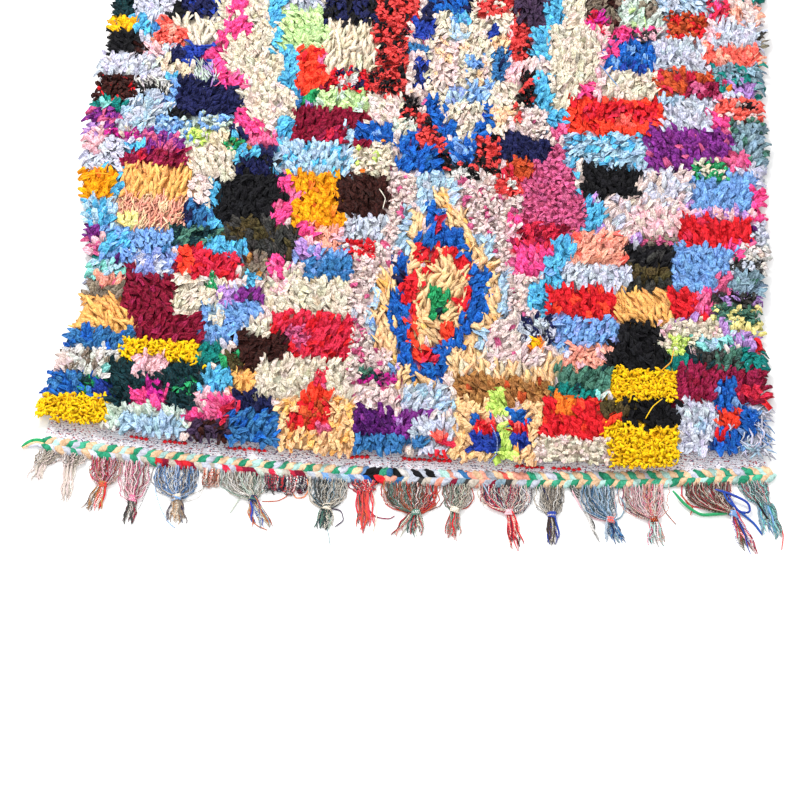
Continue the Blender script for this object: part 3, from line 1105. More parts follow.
    def ends(self, cut: RagCut, cloth_count: int) -> list[Cloth]:
        """Builds all rag ends of one cut.

        A rag end's middle line goes out by length times (lean t + (1 - lean) t squared) and up by rise times
        (1 - (1 - t) squared), less a droop times t cubed; its knot lies so far back that its middle is over
        its place. Its width grows from the knot, is widest past the middle and narrows to the tip. Its
        section is folded along the middle, twisted and ruffled, and skewed towards its tip.

        Args:
            cut: the cut.
            cloth_count: over how many pieces the ends are dealt out.

        Returns:
            The pieces' cloths.
        """
        draw = np.random.default_rng(self.seed + ord(cut.kind.value))
        x, y = self.roots(cut.pitch, draw)
        owner, offset_x, offset_y = self.owners(x, y)
        mine = np.array([patch.kind is cut.kind for patch in self.patches])[owner]
        x, y, owner, offset_x, offset_y = (values[mine] for values in (x, y, owner, offset_x, offset_y))
        many = len(x)
        way = self.headings(x, y, owner, offset_x, offset_y, cut, draw)
        t = np.linspace(0, 1, cut.rings)[None]
        length = draw.uniform(*cut.length, (many, 1))
        left, right = self.plan.reach(y)
        room = np.minimum(x - left, right - x)[:, None]
        length = np.minimum(length, np.maximum(2.1 * room + 0.014, 0.015))
        rise = draw.uniform(*cut.rise, (many, 1)) + self.surface(x, y, offset_x, offset_y)[:, None]
        droop = draw.uniform(0.0, 0.35, (many, 1)) * rise + np.where(room < 0.03, 0.012, 0.0)
        out = length * ((cut.lean * t + (1 - cut.lean) * t ** 2) * 0.86 - 0.42)
        height = self.plan.pile_base() + self.root_height + rise * (1 - (1 - t) ** 2) - droop * t ** 3
        phase = draw.uniform(0, math.tau, (many, 1))
        sway = draw.normal(0, 1, (many, 1)) * cut.bend * np.sin(math.pi * 0.9 * t)
        if cut.kind in (RagKind.CURL, RagKind.SHRED):
            sway = sway + 0.0024 * np.sin(math.tau * 1.3 * t + phase)
            height = height + 0.0020 * np.cos(math.tau * 1.3 * t + phase) * t
        side = np.stack([-way[:, 1], way[:, 0], np.zeros(many)], axis=-1)[:, None]
        level = np.stack([x, y], axis=-1)[:, None] + way[:, None] * out[..., None]
        level = level + side[..., :2] * sway[..., None]
        centres = np.concatenate([level, np.maximum(height, 0.003)[..., None]], axis=-1)
        over_edge = centres[..., 1] < self.plan.edge_line(centres[..., 0]) + self.plan.edge_width / 2 + 0.004
        centres[..., 2] = np.where(over_edge, np.maximum(centres[..., 2], self.over_edge), centres[..., 2])
        tip = draw.uniform(*cut.tip, (many, 1))
        growth = np.interp(t, (0, 0.25, 0.62, 1), (0.42, 0.82, 1.0, 0.0))
        width = draw.uniform(*cut.half_width, (many, 1)) * growth
        width = width + draw.uniform(*cut.half_width, (many, 1)) * tip * np.clip((t - 0.62) / 0.38, 0, 1)
        thick = draw.uniform(*cut.half_thickness, (many, 1)) * (1 - 0.35 * t)
        section = cut.section()
        uneven = 1 + cut.ruffle * draw.uniform(-1, 1, (many, cut.rings, len(section)))
        a = width[..., None] * section[:, 0] * uneven
        b = thick[..., None] * section[:, 1]
        fold = cut.fold * draw.choice((-1.0, 1.0), (many, 1, 1)) * draw.uniform(0.4, 1.3, (many, 1, 1))
        b = b - fold * width[..., None] * (np.abs(section[:, 0]) - 0.5)
        b = b + cut.ruffle * width[..., None] * section[:, 0] * np.sin(math.tau * 1.1 * t + phase)[..., None]
        twist = draw.normal(0, cut.twist, (many, 1)) * 0.6 + draw.normal(0, cut.twist, (many, 1)) * t
        cos, sin = np.cos(twist)[..., None], np.sin(twist)[..., None]
        offsets = np.stack([a * cos - b * sin, a * sin + b * cos], axis=-1)
        skew = cut.skew * draw.uniform(-1, 1, (many, 1, 1))
        slide = skew * width[..., None] * section[:, 0] * t[..., None] ** 3
        forward = np.concatenate([way, np.zeros((many, 1))], axis=-1)[:, None, None]
        shift = slide[..., None] * forward
        dyes, seconds = self.colours(x, y, owner, draw)
        cloths = []
        for part in range(cloth_count):
            pick = slice(part, None, cloth_count)
            cloth = Cloth()
            sweep(cloth, centres[pick], np.broadcast_to(side, centres.shape)[pick], offsets[pick], dyes[pick],
                  seconds[pick], draw)
            cloth.points[0] = cloth.points[0] + shift[pick].reshape(-1, 3)
            cloths.append(cloth)
        return cloths

    def bed(self) -> Cloth:
        """The low bed of knots under the rag ends, in a darker tone of their dyes.

        Returns:
            A closed lumpy slab: a grid over the pile's plan whose height is bed_height plus ripples, with
            walls down to the ground and a flat underside.
        """
        far = self.plan.far_edge_y - self.plan.far_hem - self.plan.rim_inset
        columns, rows = round(1.36 / self.bed_cell), round(far / self.bed_cell)
        u, v = np.meshgrid(np.linspace(0, 1, columns + 1), np.linspace(0, 1, rows + 1))
        y = v * far
        left, right = self.plan.reach(y)
        inset = self.plan.rim_inset * 1.1
        x = left + inset + u * (right - left - 2 * inset)
        near = self.plan.near_rim(x) + 0.010
        y = near + v * (far - near)
        height = self.bed_height + 0.0025 * ripple(x, y, 0.02, 9) + 0.0015 * ripple(x, y, 0.011, 10)
        top = np.stack([x, y, self.plan.pile_base() + np.maximum(height, 0.004)], axis=-1).reshape(-1, 3)
        foot = top.copy()
        foot[:, 2] = self.plan.pile_base()
        upper, walls, lower = slab_faces(u.shape)
        faces = np.concatenate([upper, walls, lower])
        points = np.concatenate([top, foot])
        spots = np.concatenate([np.stack([u, v], axis=-1).reshape(-1, 2)] * 2)
        owner = self.owners(points[:, 0], points[:, 1])[0]
        dyes = np.array([patch.dye.linear() for patch in self.patches])[owner]
        dyes[:, :3] *= self.bed_tone
        cells = spots[faces]
        cells[len(upper):] = 0.0005
        cloth = Cloth()
        cloth.add(points, faces, points[faces][..., :2], cells, dyes, dyes * (1, 1, 1, 0))
        return cloth

    def build(self, jersey: bpy.types.Material, cotton: bpy.types.Material,
              frayed: bpy.types.Material) -> list[bpy.types.Object]:
        """Builds the whole pile, which stands for the part's pile.

        Args:
            jersey: the finish of broad rags.
            cotton: the finish of fine rags.
            frayed: the finish of curls.

        Returns:
            The pieces.
        """
        pieces = [self.bed().piece("knot_bed", self.plan, cotton, True)]
        for kind, label, count, material, smooth in (
            (RagKind.LEAF, "rag_leaves", 4, jersey, False),
            (RagKind.FINGER, "rag_fingers", 1, cotton, True),
            (RagKind.CURL, "rag_curls", 1, frayed, True),
            (RagKind.CRUMB, "rag_crumbs", 1, jersey, False),
            (RagKind.SHRED, "rag_shreds", 1, cotton, True),
        ):
            for number, cloth in enumerate(self.ends(CUTS[kind], count), 1):
                name = f"{label}_{number}" if count > 1 else label
                pieces.append(cloth.piece(name, self.plan, material, smooth))
        for piece in pieces:
            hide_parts("rag_pile")
        return pieces


@dataclass
class GroundCloth:
    """The plain-woven cotton ground, ribbed by its weft in the bare band and in the far hem."""

    plan: RugPlan
    columns: int = 100
    rib: float = 0.0007
    rib_pitch: float = 0.0048
    bare_inset: float = 0.004

    def lines(self) -> np.ndarray:
        """Shares of the length where the grid has lines: close in the bare band and the hem, wide between."""
        band = np.linspace(0, 0.044, 30)
        middle = np.linspace(0.070, self.plan.far_edge_y - 0.06, 14)
        hem = np.linspace(self.plan.far_edge_y - 0.042, self.plan.far_edge_y, 28)
        return np.concatenate([band, middle, hem]) / self.plan.far_edge_y

    def build(self, material: bpy.types.Material) -> bpy.types.Object:
        """Its top is the part's top less a rib height times (1 - cosine of along / rib pitch) / 2, its underside
        flat.

        Args:
            material: the flecked weave.

        Returns:
            The piece.
        """
        v = self.lines()
        u = np.linspace(0, 1, self.columns + 1)
        u, v = np.meshgrid(u, v)
        y = v * self.plan.far_edge_y
        left, right = self.plan.reach(y)
        inset = np.interp(y, (0.0, 0.045), (self.bare_inset, self.plan.ground_inset))
        x = left + inset + u * (right - left - 2 * inset)
        near = self.plan.edge_line(x) + self.plan.edge_width / 2 + self.plan.gap
        y = near + v * (self.plan.far_edge_y - near)
        ribs = (1 - np.cos(math.tau * (y - near) / self.rib_pitch)) / 2
        unevenness = 0.0003 * (1 + ripple(x, y, 0.014, 21)) / 2
        height = self.plan.ground_thickness - self.rib * ribs - unevenness
        top = np.stack([x, y, height], axis=-1).reshape(-1, 3)
        foot = top * (1, 1, 0)
        upper, walls, lower = slab_faces(u.shape)
        faces = np.concatenate([upper, walls, lower])
        points = np.concatenate([top, foot])
        spots = np.stack([u, v], axis=-1).reshape(-1, 2) * (1.0, 0.49)
        spots = np.concatenate([spots, spots + (0.0, 0.5)])
        cells = spots[faces]
        sides = slice(len(upper), len(upper) + len(walls))
        cells[sides] = cells[sides, :1]
        cloth = Cloth()
        plain = np.ones((len(points), 4))
        cloth.add(points, faces, points[faces][..., :2], cells, plain, plain)
        piece = cloth.piece("woven_ground", self.plan, material, True)
        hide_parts("ground_weave")
        return piece


WEFT_RUNS = (
    (-0.530, -0.500), (-0.465, -0.425), (-0.340, -0.270), (-0.105, -0.068), (-0.005, 0.085), (0.210, 0.265),
    (0.280, 0.335),
)


@dataclass
class RedWeft:
    """The red rag weft that shows in short floats just under the near border of the pile."""

    plan: RugPlan
    pitch: float = 0.0095
    half_width: float = 0.0040
    height: float = 0.0022
    below_pile: float = 0.006
    seed: int = 17

    def build(self, material: bpy.types.Material) -> bpy.types.Object:
        """Builds the floats as short flattened pods on the ground; a pod's width is a half sine along it.

        Args:
            material: the rag finish.

        Returns:
            The piece.
        """
        draw = np.random.default_rng(self.seed)
        x = np.concatenate([np.arange(start, end, self.pitch) for start, end in WEFT_RUNS])
        many = len(x)
        t = np.linspace(0, 1, 5)[None]
        px = x[:, None] + (t - 0.5) * self.pitch * 0.92
        py = self.plan.near_rim(px) - self.below_pile + draw.normal(0, 0.0008, (many, 1))
        pz = self.plan.ground_thickness + 0.0008 + self.height * np.sin(math.pi * t)
        centres = np.stack([px, py, np.broadcast_to(pz, px.shape)], axis=-1)
        across = np.zeros_like(centres)
        across[..., 1] = -1.0
        wide = self.half_width * draw.uniform(0.8, 1.2, (many, 1)) * (0.25 + 0.75 * np.sin(math.pi * t))
        offsets = wide[..., None, None] * ring_section(6) * (1, 0.7)
        colour = np.repeat([Dye.RED.linear()], many, axis=0)
        colour[:, :3] *= np.exp(draw.normal(0, 0.15, (many, 1)))
        second = np.repeat([Dye.BURGUNDY.linear()], many, axis=0) * (1, 1, 1, 0.3)
        cloth = Cloth()
        sweep(cloth, centres, across, offsets, np.clip(colour, DARKEST, PALEST), second, draw)
        piece = cloth.piece("red_weft_floats", self.plan, material, True)
        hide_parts("ground_weave")
        return piece


class Wraps(NamedTuple):
    """A run of wraps of the twined edge, in centimetres, with the dyes that follow each other in it."""

    start: float
    end: float
    dyes: str


PILE_ROW = (
    Wraps(-70, -8.5, "jade peach dew peach jade lavender mint peach dew peach"), Wraps(-8.5, -7, "denim"),
    Wraps(-7, -4.6, "black"), Wraps(-4.6, -2.4, "steel mint"), Wraps(-2.4, 0.2, "chalk black"),
    Wraps(0.2, 6.4, "black silver"), Wraps(6.4, 8, "dew"), Wraps(8, 12.6, "steel salmon silver"),
    Wraps(12.6, 22, "peach salmon silver peach coral"), Wraps(22, 26, "salmon jade dew"),
    Wraps(26, 70, "jade peach dew peach mint peach lavender"),
)
FRINGE_ROW = (
    Wraps(-70, -58, "jade lavender peach silver"), Wraps(-58, -50.5, "silver jade lavender greige"),
    Wraps(-50.5, -47.6, "mint greige"), Wraps(-47.6, -38.8, "crimson red burgundy greige"),
    Wraps(-38.8, -35.6, "silver greige"), Wraps(-35.6, -31.6, "lavender crimson"),
    Wraps(-31.6, -29, "burgundy"), Wraps(-29, -21.6, "greige crimson sage"),
    Wraps(-21.6, -19.6, "burgundy"), Wraps(-19.6, -16, "silver greige"),
    Wraps(-16, -8.8, "slate ice denim silver"), Wraps(-8.8, -7, "cobalt"), Wraps(-7, -4.8, "red black"),
    Wraps(-4.8, -1, "salmon steel black salmon"), Wraps(-1, 6, "greige silver charcoal"),
    Wraps(6, 22, "silver burgundy slate charcoal greige salmon"), Wraps(22, 26, "jade silver"),
    Wraps(26, 70, "peach mint peach dew jade"),
)


@dataclass
class TwinedEdge:
    """Two rows of slanting wraps along the near end, meeting in arrows, and their loose end at the left."""

    plan: RugPlan
    pitch: float = 0.0128
    slant: float = 0.0225
    crest: float = 0.0092
    crest_inset: float = 0.0052
    foot: float = 0.0022
    half_thickness: float = 0.0024
    overhang: float = 0.0030
    overlap: float = 0.0012
    wear: float = 0.80
    turn_x: float = -0.030
    around: int = 8
    rings: int = 8
    seed: int = 31

    def row(self, runs: tuple[Wraps, ...], side: float, cloth: Cloth, draw: np.random.Generator) -> None:
        """Adds one row of wraps.

        A wrap's middle line goes from the row's outer border to the edge's middle line, slanting in x, and
        stands up as a half sine; its section is a flattened oval that is narrow at both ends.

        Args:
            runs: the row's dyes.
            side: 1 for the row beside the pile, -1 for the row beside the tassels.
            cloth: what the wraps are added to.
            draw: the random draws.
        """
        x = np.arange(self.plan.edge_cloth_end_x + 0.004, self.plan.edge_right_x - 0.004, self.pitch)
        x = x + draw.uniform(-0.12, 0.12, len(x)) * self.pitch + (self.pitch / 2 if side < 0 else 0.0)
        dyes = []
        for number, place in enumerate(x / CM):
            run = next((run for run in runs if run.start <= place < run.end), runs[-1])
            names = run.dyes.split()
            dyes.append(Dye[names[number % len(names)].upper()].linear())
        way = np.tanh((self.turn_x - x) / self.pitch)[:, None]
        t = np.linspace(0, 1, self.rings)[None]
        many = len(x)
        lean = self.slant * draw.uniform(0.85, 1.15, (many, 1))
        px = x[:, None] + way * lean * (0.5 - t)
        half = self.plan.edge_width / 2 + self.overhang
        py = self.plan.edge_line(px) + side * (half * (1 - t * 1.04) + draw.normal(0, 0.0006, (many, 1)))
        py = py - side * self.overlap
        crest = self.crest * draw.uniform(0.86, 1.06, (many, 1))
        pz = self.foot + (crest - self.crest_inset) * np.sin(math.pi * np.clip(t * 0.93 + 0.05, 0, 1)) ** 0.8
        if side > 0:
            pz = np.maximum(pz, self.plan.ground_thickness + 0.0004)
        centres = np.stack([px, py, pz], axis=-1)
        across = np.zeros_like(centres)
        across[..., 0] = 1.0
        swell = 0.34 + 0.66 * np.sin(math.pi * (0.07 + 0.86 * t))
        wide = self.pitch * 0.57 * swell * draw.uniform(0.85, 1.15, (many, 1))
        thick = np.minimum(self.half_thickness * (0.75 + 0.25 * np.sin(math.pi * t)), pz - 0.0001)
        ring = ring_section(self.around)
        pinch = 1 + 0.10 * draw.uniform(-1, 1, (many, self.rings, self.around))
        offsets = np.stack([wide[..., None] * ring[:, 0] * pinch, thick[..., None] * ring[:, 1]], axis=-1)
        tone = self.wear * np.exp(draw.normal(0, 0.10, (many, 1)))
        colour = np.array(dyes)
        colour[:, :3] = np.clip(colour[:, :3] * tone, DARKEST, 0.95)
        second = colour.copy()
        second[:, :3] *= 0.72
        second[:, 3] = 0.28
        sweep(cloth, centres, across, offsets, colour, second, draw, (0.0, 0.9))

    def loose_end(self, cloth: Cloth, draw: np.random.Generator) -> None:
        """Adds the loose end: three flat strands of rag that leave the row past the cloth, and droop."""
        t = np.linspace(0, 1, 9)[None]
        lift = np.array([[0.004], [-0.001], [-0.006]])
        px = self.plan.edge_cloth_end_x + 0.006 - t * np.array([[0.044], [0.043], [0.032]])
        py = self.plan.edge_line(px) + lift * (1 - 0.5 * t) + 0.003 * np.sin(math.pi * t)
        pz = 0.0038 + 0.0022 * np.sin(math.pi * t) + np.array([[0.0008], [0.0], [-0.0008]])
        centres = np.stack([px, py, pz], axis=-1)
        across = np.zeros_like(centres)
        across[..., 1] = -1.0
        wide = np.interp(t, (0, 0.2, 0.85, 1), (0.0038, 0.0044, 0.0040, 0.0016)) * np.ones((3, 1))
        ring = ring_section(self.around)
        thick = np.full_like(wide, self.half_thickness)
        offsets = np.stack([wide, thick], axis=-1)[:, :, None] * ring
        colour = np.array([dye.linear() for dye in (Dye.LEAFGREEN, Dye.PEACH, Dye.LAVENDER)])
        second = colour * (0.8, 0.8, 0.8, 0.25)
        sweep(cloth, centres, across, offsets, colour, second, draw, (0.9, 1.0))

    def build(self, material: bpy.types.Material) -> list[bpy.types.Object]:
        """Builds the two rows, the loose end with the row beside the pile.

        Args:
            material: the rag finish.

        Returns:
            The pieces.
        """
        draw = np.random.default_rng(self.seed)
        rows = []
        for runs, side in ((PILE_ROW, 1.0), (FRINGE_ROW, -1.0)):
            cloth = Cloth()
            self.row(runs, side, cloth, draw)
            rows.append(cloth)
        self.loose_end(rows[0], draw)
        pieces = [
            cloth.piece(name, self.plan, material, True)
            for name, cloth in zip(("twined_row_by_pile", "twined_row_by_tassels"), rows, strict=True)
        ]
        for piece in pieces:
            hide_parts("twined_edge")
        return pieces


class Tassel(NamedTuple):
    """One tassel: its root along the twined edge, its neck, its tips and their spread, and its yarns' dyes.

    The yarns of a tassel without tail dyes come back up to the edge as coils.
    """

    left: float
    right: float
    neck_x: float
    neck_y: float
    tip_x: float
    tip_y: float
    spread: float
    knotted: bool
    web: str
    tail: str
    wrap: str


TASSELS = (
    Tassel(-0.704, -0.658, -0.697, -0.044, -0.707, -0.076, 0.030, False,
           "greige blush taupe greige", "greige blush", ""),
    Tassel(-0.658, -0.606, -0.640, -0.046, -0.643, -0.115, 0.020, False,
           "greige blush greige taupe", "blush greige", ""),
    Tassel(-0.608, -0.545, -0.574, -0.080, -0.590, -0.130, 0.040, True,
           "red chalk burgundy blush camel rose", "camel brown red chalk camel", "camel"),
    Tassel(-0.546, -0.488, -0.514, -0.106, -0.517, -0.154, 0.026, True,
           "pink chalk rose burgundy greige blush", "pink chalk burgundy greige charcoal", "rose"),
    Tassel(-0.488, -0.384, -0.431, -0.098, -0.428, -0.148, 0.042, True,
           "denim greige navy chalk taupe steel", "cream taupe navy greige camel", "cream"),
    Tassel(-0.388, -0.348, -0.364, -0.076, -0.364, -0.086, 0.034, False,
           "rust chalk salmon brown greige", "", ""),
    Tassel(-0.358, -0.262, -0.287, -0.092, -0.268, -0.145, 0.044, True,
           "greygreen greige sage taupe chalk", "camel royal brown sage rust", "navy"),
    Tassel(-0.270, -0.184, -0.228, -0.080, -0.228, -0.090, 0.050, False,
           "burgundy navy chalk brown red charcoal", "", ""),
    Tassel(-0.184, -0.106, -0.146, -0.100, -0.148, -0.142, 0.040, True,
           "bottle greige charcoal slate cream", "bottle cream charcoal greygreen", "cream"),
    Tassel(-0.108, -0.050, -0.076, -0.066, -0.070, -0.142, 0.048, False,
           "vermilion crimson red chalk navy scarlet", "red rust vermilion crimson charcoal scarlet", ""),
    Tassel(-0.052, 0.074, 0.022, -0.102, 0.014, -0.148, 0.068, True,
           "chalk brown rust greygreen taupe red rust", "bottle cream charcoal greygreen red", "greygreen"),
    Tassel(0.072, 0.130, 0.096, -0.092, 0.094, -0.148, 0.036, True,
           "cream greygreen greige burgundy taupe", "greygreen greige red taupe", "cream"),
    Tassel(0.130, 0.240, 0.198, -0.091, 0.210, -0.160, 0.050, True,
           "chalk burgundy greige navy cream crimson", "red cream red brown burgundy", "pink"),
    Tassel(0.244, 0.306, 0.279, -0.091, 0.285, -0.148, 0.024, True,
           "greige taupe chalk charcoal greige", "greige charcoal brown royal", "royal"),
    Tassel(0.310, 0.326, 0.332, -0.054, 0.370, -0.132, 0.008, False,
           "charcoal chalk", "charcoal chalk", ""),
    Tassel(0.328, 0.402, 0.390, -0.095, 0.402, -0.139, 0.046, True,
           "slate steel ice silver bottle", "slate steel silver navy", "coral"),
    Tassel(0.402, 0.502, 0.472, -0.089, 0.480, -0.138, 0.044, True,
           "brown rust chalk rose greige pink", "rust brown chalk aqua rose", "rust"),
    Tassel(0.520, 0.622, 0.622, -0.068, 0.652, -0.140, 0.042, True,
           "brown cream burgundy olive greige crimson", "crimson brown olive chalk royal", "denim"),
    Tassel(0.626, 0.692, 0.682, -0.046, 0.698, -0.110, 0.044, False,
           "aqua slate teal charcoal crimson chalk", "slate charcoal teal denim aqua", ""),
)


class Stray(NamedTuple):
    """One loose yarn: its tassel's number, or 0 for the pile, its dyes, its radius in mm and path in cm."""

    tassel: int
    dyes: str
    radius: float
    path: str


STRAYS = (
    Stray(5, "denim chalk", 1.2, "-47.5,-4 -47.6,-8 -46,-12 -44.2,-14.8 -42.8,-15.8"),
    Stray(5, "charcoal chalk", 1.2, "-39.4,-4 -38.3,-7 -38.8,-9.2 -41,-10.3 -42.6,-9.8"),
    Stray(4, "charcoal chalk", 0.9, "-48.8,-4 -48.6,-7 -49.6,-11 -50.2,-12.4"),
    Stray(7, "sage greige", 1.6, "-30,-7 -31.4,-9.4 -32.8,-12.2"),
    Stray(7, "rust brown", 1.0, "-27,-9.4 -24,-9.2 -22.4,-8.2 -21.4,-6"),
    Stray(7, "rust camel", 1.0, "-29,-9.6 -29.6,-12 -27.6,-14.4 -25.4,-15.2"),
    Stray(8, "orange salmon", 1.2, "-18.8,-4.6 -18.2,-6.4 -19,-8.2 -20.6,-8.4 -21.2,-7.4"),
    Stray(9, "cream greige", 1.8, "-18,-4 -18.4,-6 -18,-8.8 -16,-10 -14.8,-10"),
    Stray(9, "plum charcoal", 1.2, "-14.4,-10 -11.8,-10.4 -11.2,-12.4 -12.8,-13.8"),
    Stray(9, "greygreen slate", 0.8, "-14.6,-13 -13.8,-15.6 -13.4,-17.6"),
    Stray(10, "chalk cream", 1.2, "-7.2,-4 -5.6,-7.6 -5,-11.6 -5.6,-14.4"),
    Stray(11, "burgundy wine", 1.1, "-8.2,-6 -7.2,-9.4 -5.2,-11.4 -2.6,-11.6 -1.6,-10.8"),
    Stray(11, "camel cream", 1.4, "-4,-4 -4.2,-6 -1.6,-9 0,-10"),
    Stray(11, "brown rust", 1.0, "-1,-5 1.4,-5.4 2,-7 0.4,-8 -1.4,-7.4 -1.2,-5.6"),
    Stray(12, "burgundy rust", 1.2, "12.6,-4.6 13.2,-6.4 12,-8.4 10.6,-8.8"),
    Stray(13, "navy ice", 1.4, "14.6,-3.6 16.4,-6.6 19,-8.8"),
    Stray(13, "ice salmon", 1.2, "22,-4 23.8,-5.8 23.2,-8 20.8,-8.8"),
    Stray(13, "charcoal plum", 1.1, "20.6,-4 22.4,-5.6 22.2,-7.4 20.4,-8.4"),
    Stray(14, "charcoal navy", 1.3, "26,-3.6 27.2,-6 28,-9"),
    Stray(16, "silver pink", 1.6, "31.6,-4 33.4,-7.2 36,-9.2 38.6,-9.6"),
    Stray(16, "slate ice", 1.5, "40.6,-4.6 41.9,-6.4 41,-8.6 39.6,-9.4"),
    Stray(16, "coral chalk", 0.9, "40,-4 39.6,-6 40.2,-7.6 39.2,-9"),
    Stray(17, "rust charcoal", 0.9, "48.6,-4 49,-6.6 51,-9 51.4,-9.4"),
    Stray(17, "charcoal olive", 1.7, "41.6,-4.6 43.4,-7 46.6,-8.9"),
    Stray(18, "olive leafgreen", 2.8, "50.6,-3 53,-5.6 56,-7.4 59.4,-6.9 61.8,-6.6"),
    Stray(18, "royal denim", 2.4, "58.6,-2.2 61.6,-3 65,-4.4 65.4,-6.4 63,-6.4 61,-3.2"),
    Stray(18, "royal cobalt", 2.2, "60,-2.2 60.8,-4.2 63,-6 66,-8.2 67.6,-10.6"),
    Stray(18, "brown rust", 1.2, "52,-3.6 54.6,-6 54,-7.4"),
    Stray(19, "red coral", 1.1, "69.4,-7.6 71,-8.2 71.6,-10.4 71.2,-13.4"),
    Stray(19, "black navy", 2.0, "66.4,-4 68.4,-7 69.8,-8.6"),
    Stray(0, "navy periwinkle", 1.3, "15.6,7.6 17,4.6 17,1.6 15.4,-0.6"),
    Stray(0, "yellow amber", 1.1, "45,10.6 46.4,13.4 48.2,15"),
    Stray(0, "yellow amber", 1.1, "47.6,20.6 49.8,23 50.2,25.6"),
    Stray(0, "denim steel", 1.0, "34.4,90 36.4,87.6 38.2,85"),
    Stray(0, "amber yellow", 1.0, "-69,57 -66,58.4 -63,58"),
    Stray(0, "cream greige", 1.0, "-9,58 -7.6,56 -8,53.4"),
)


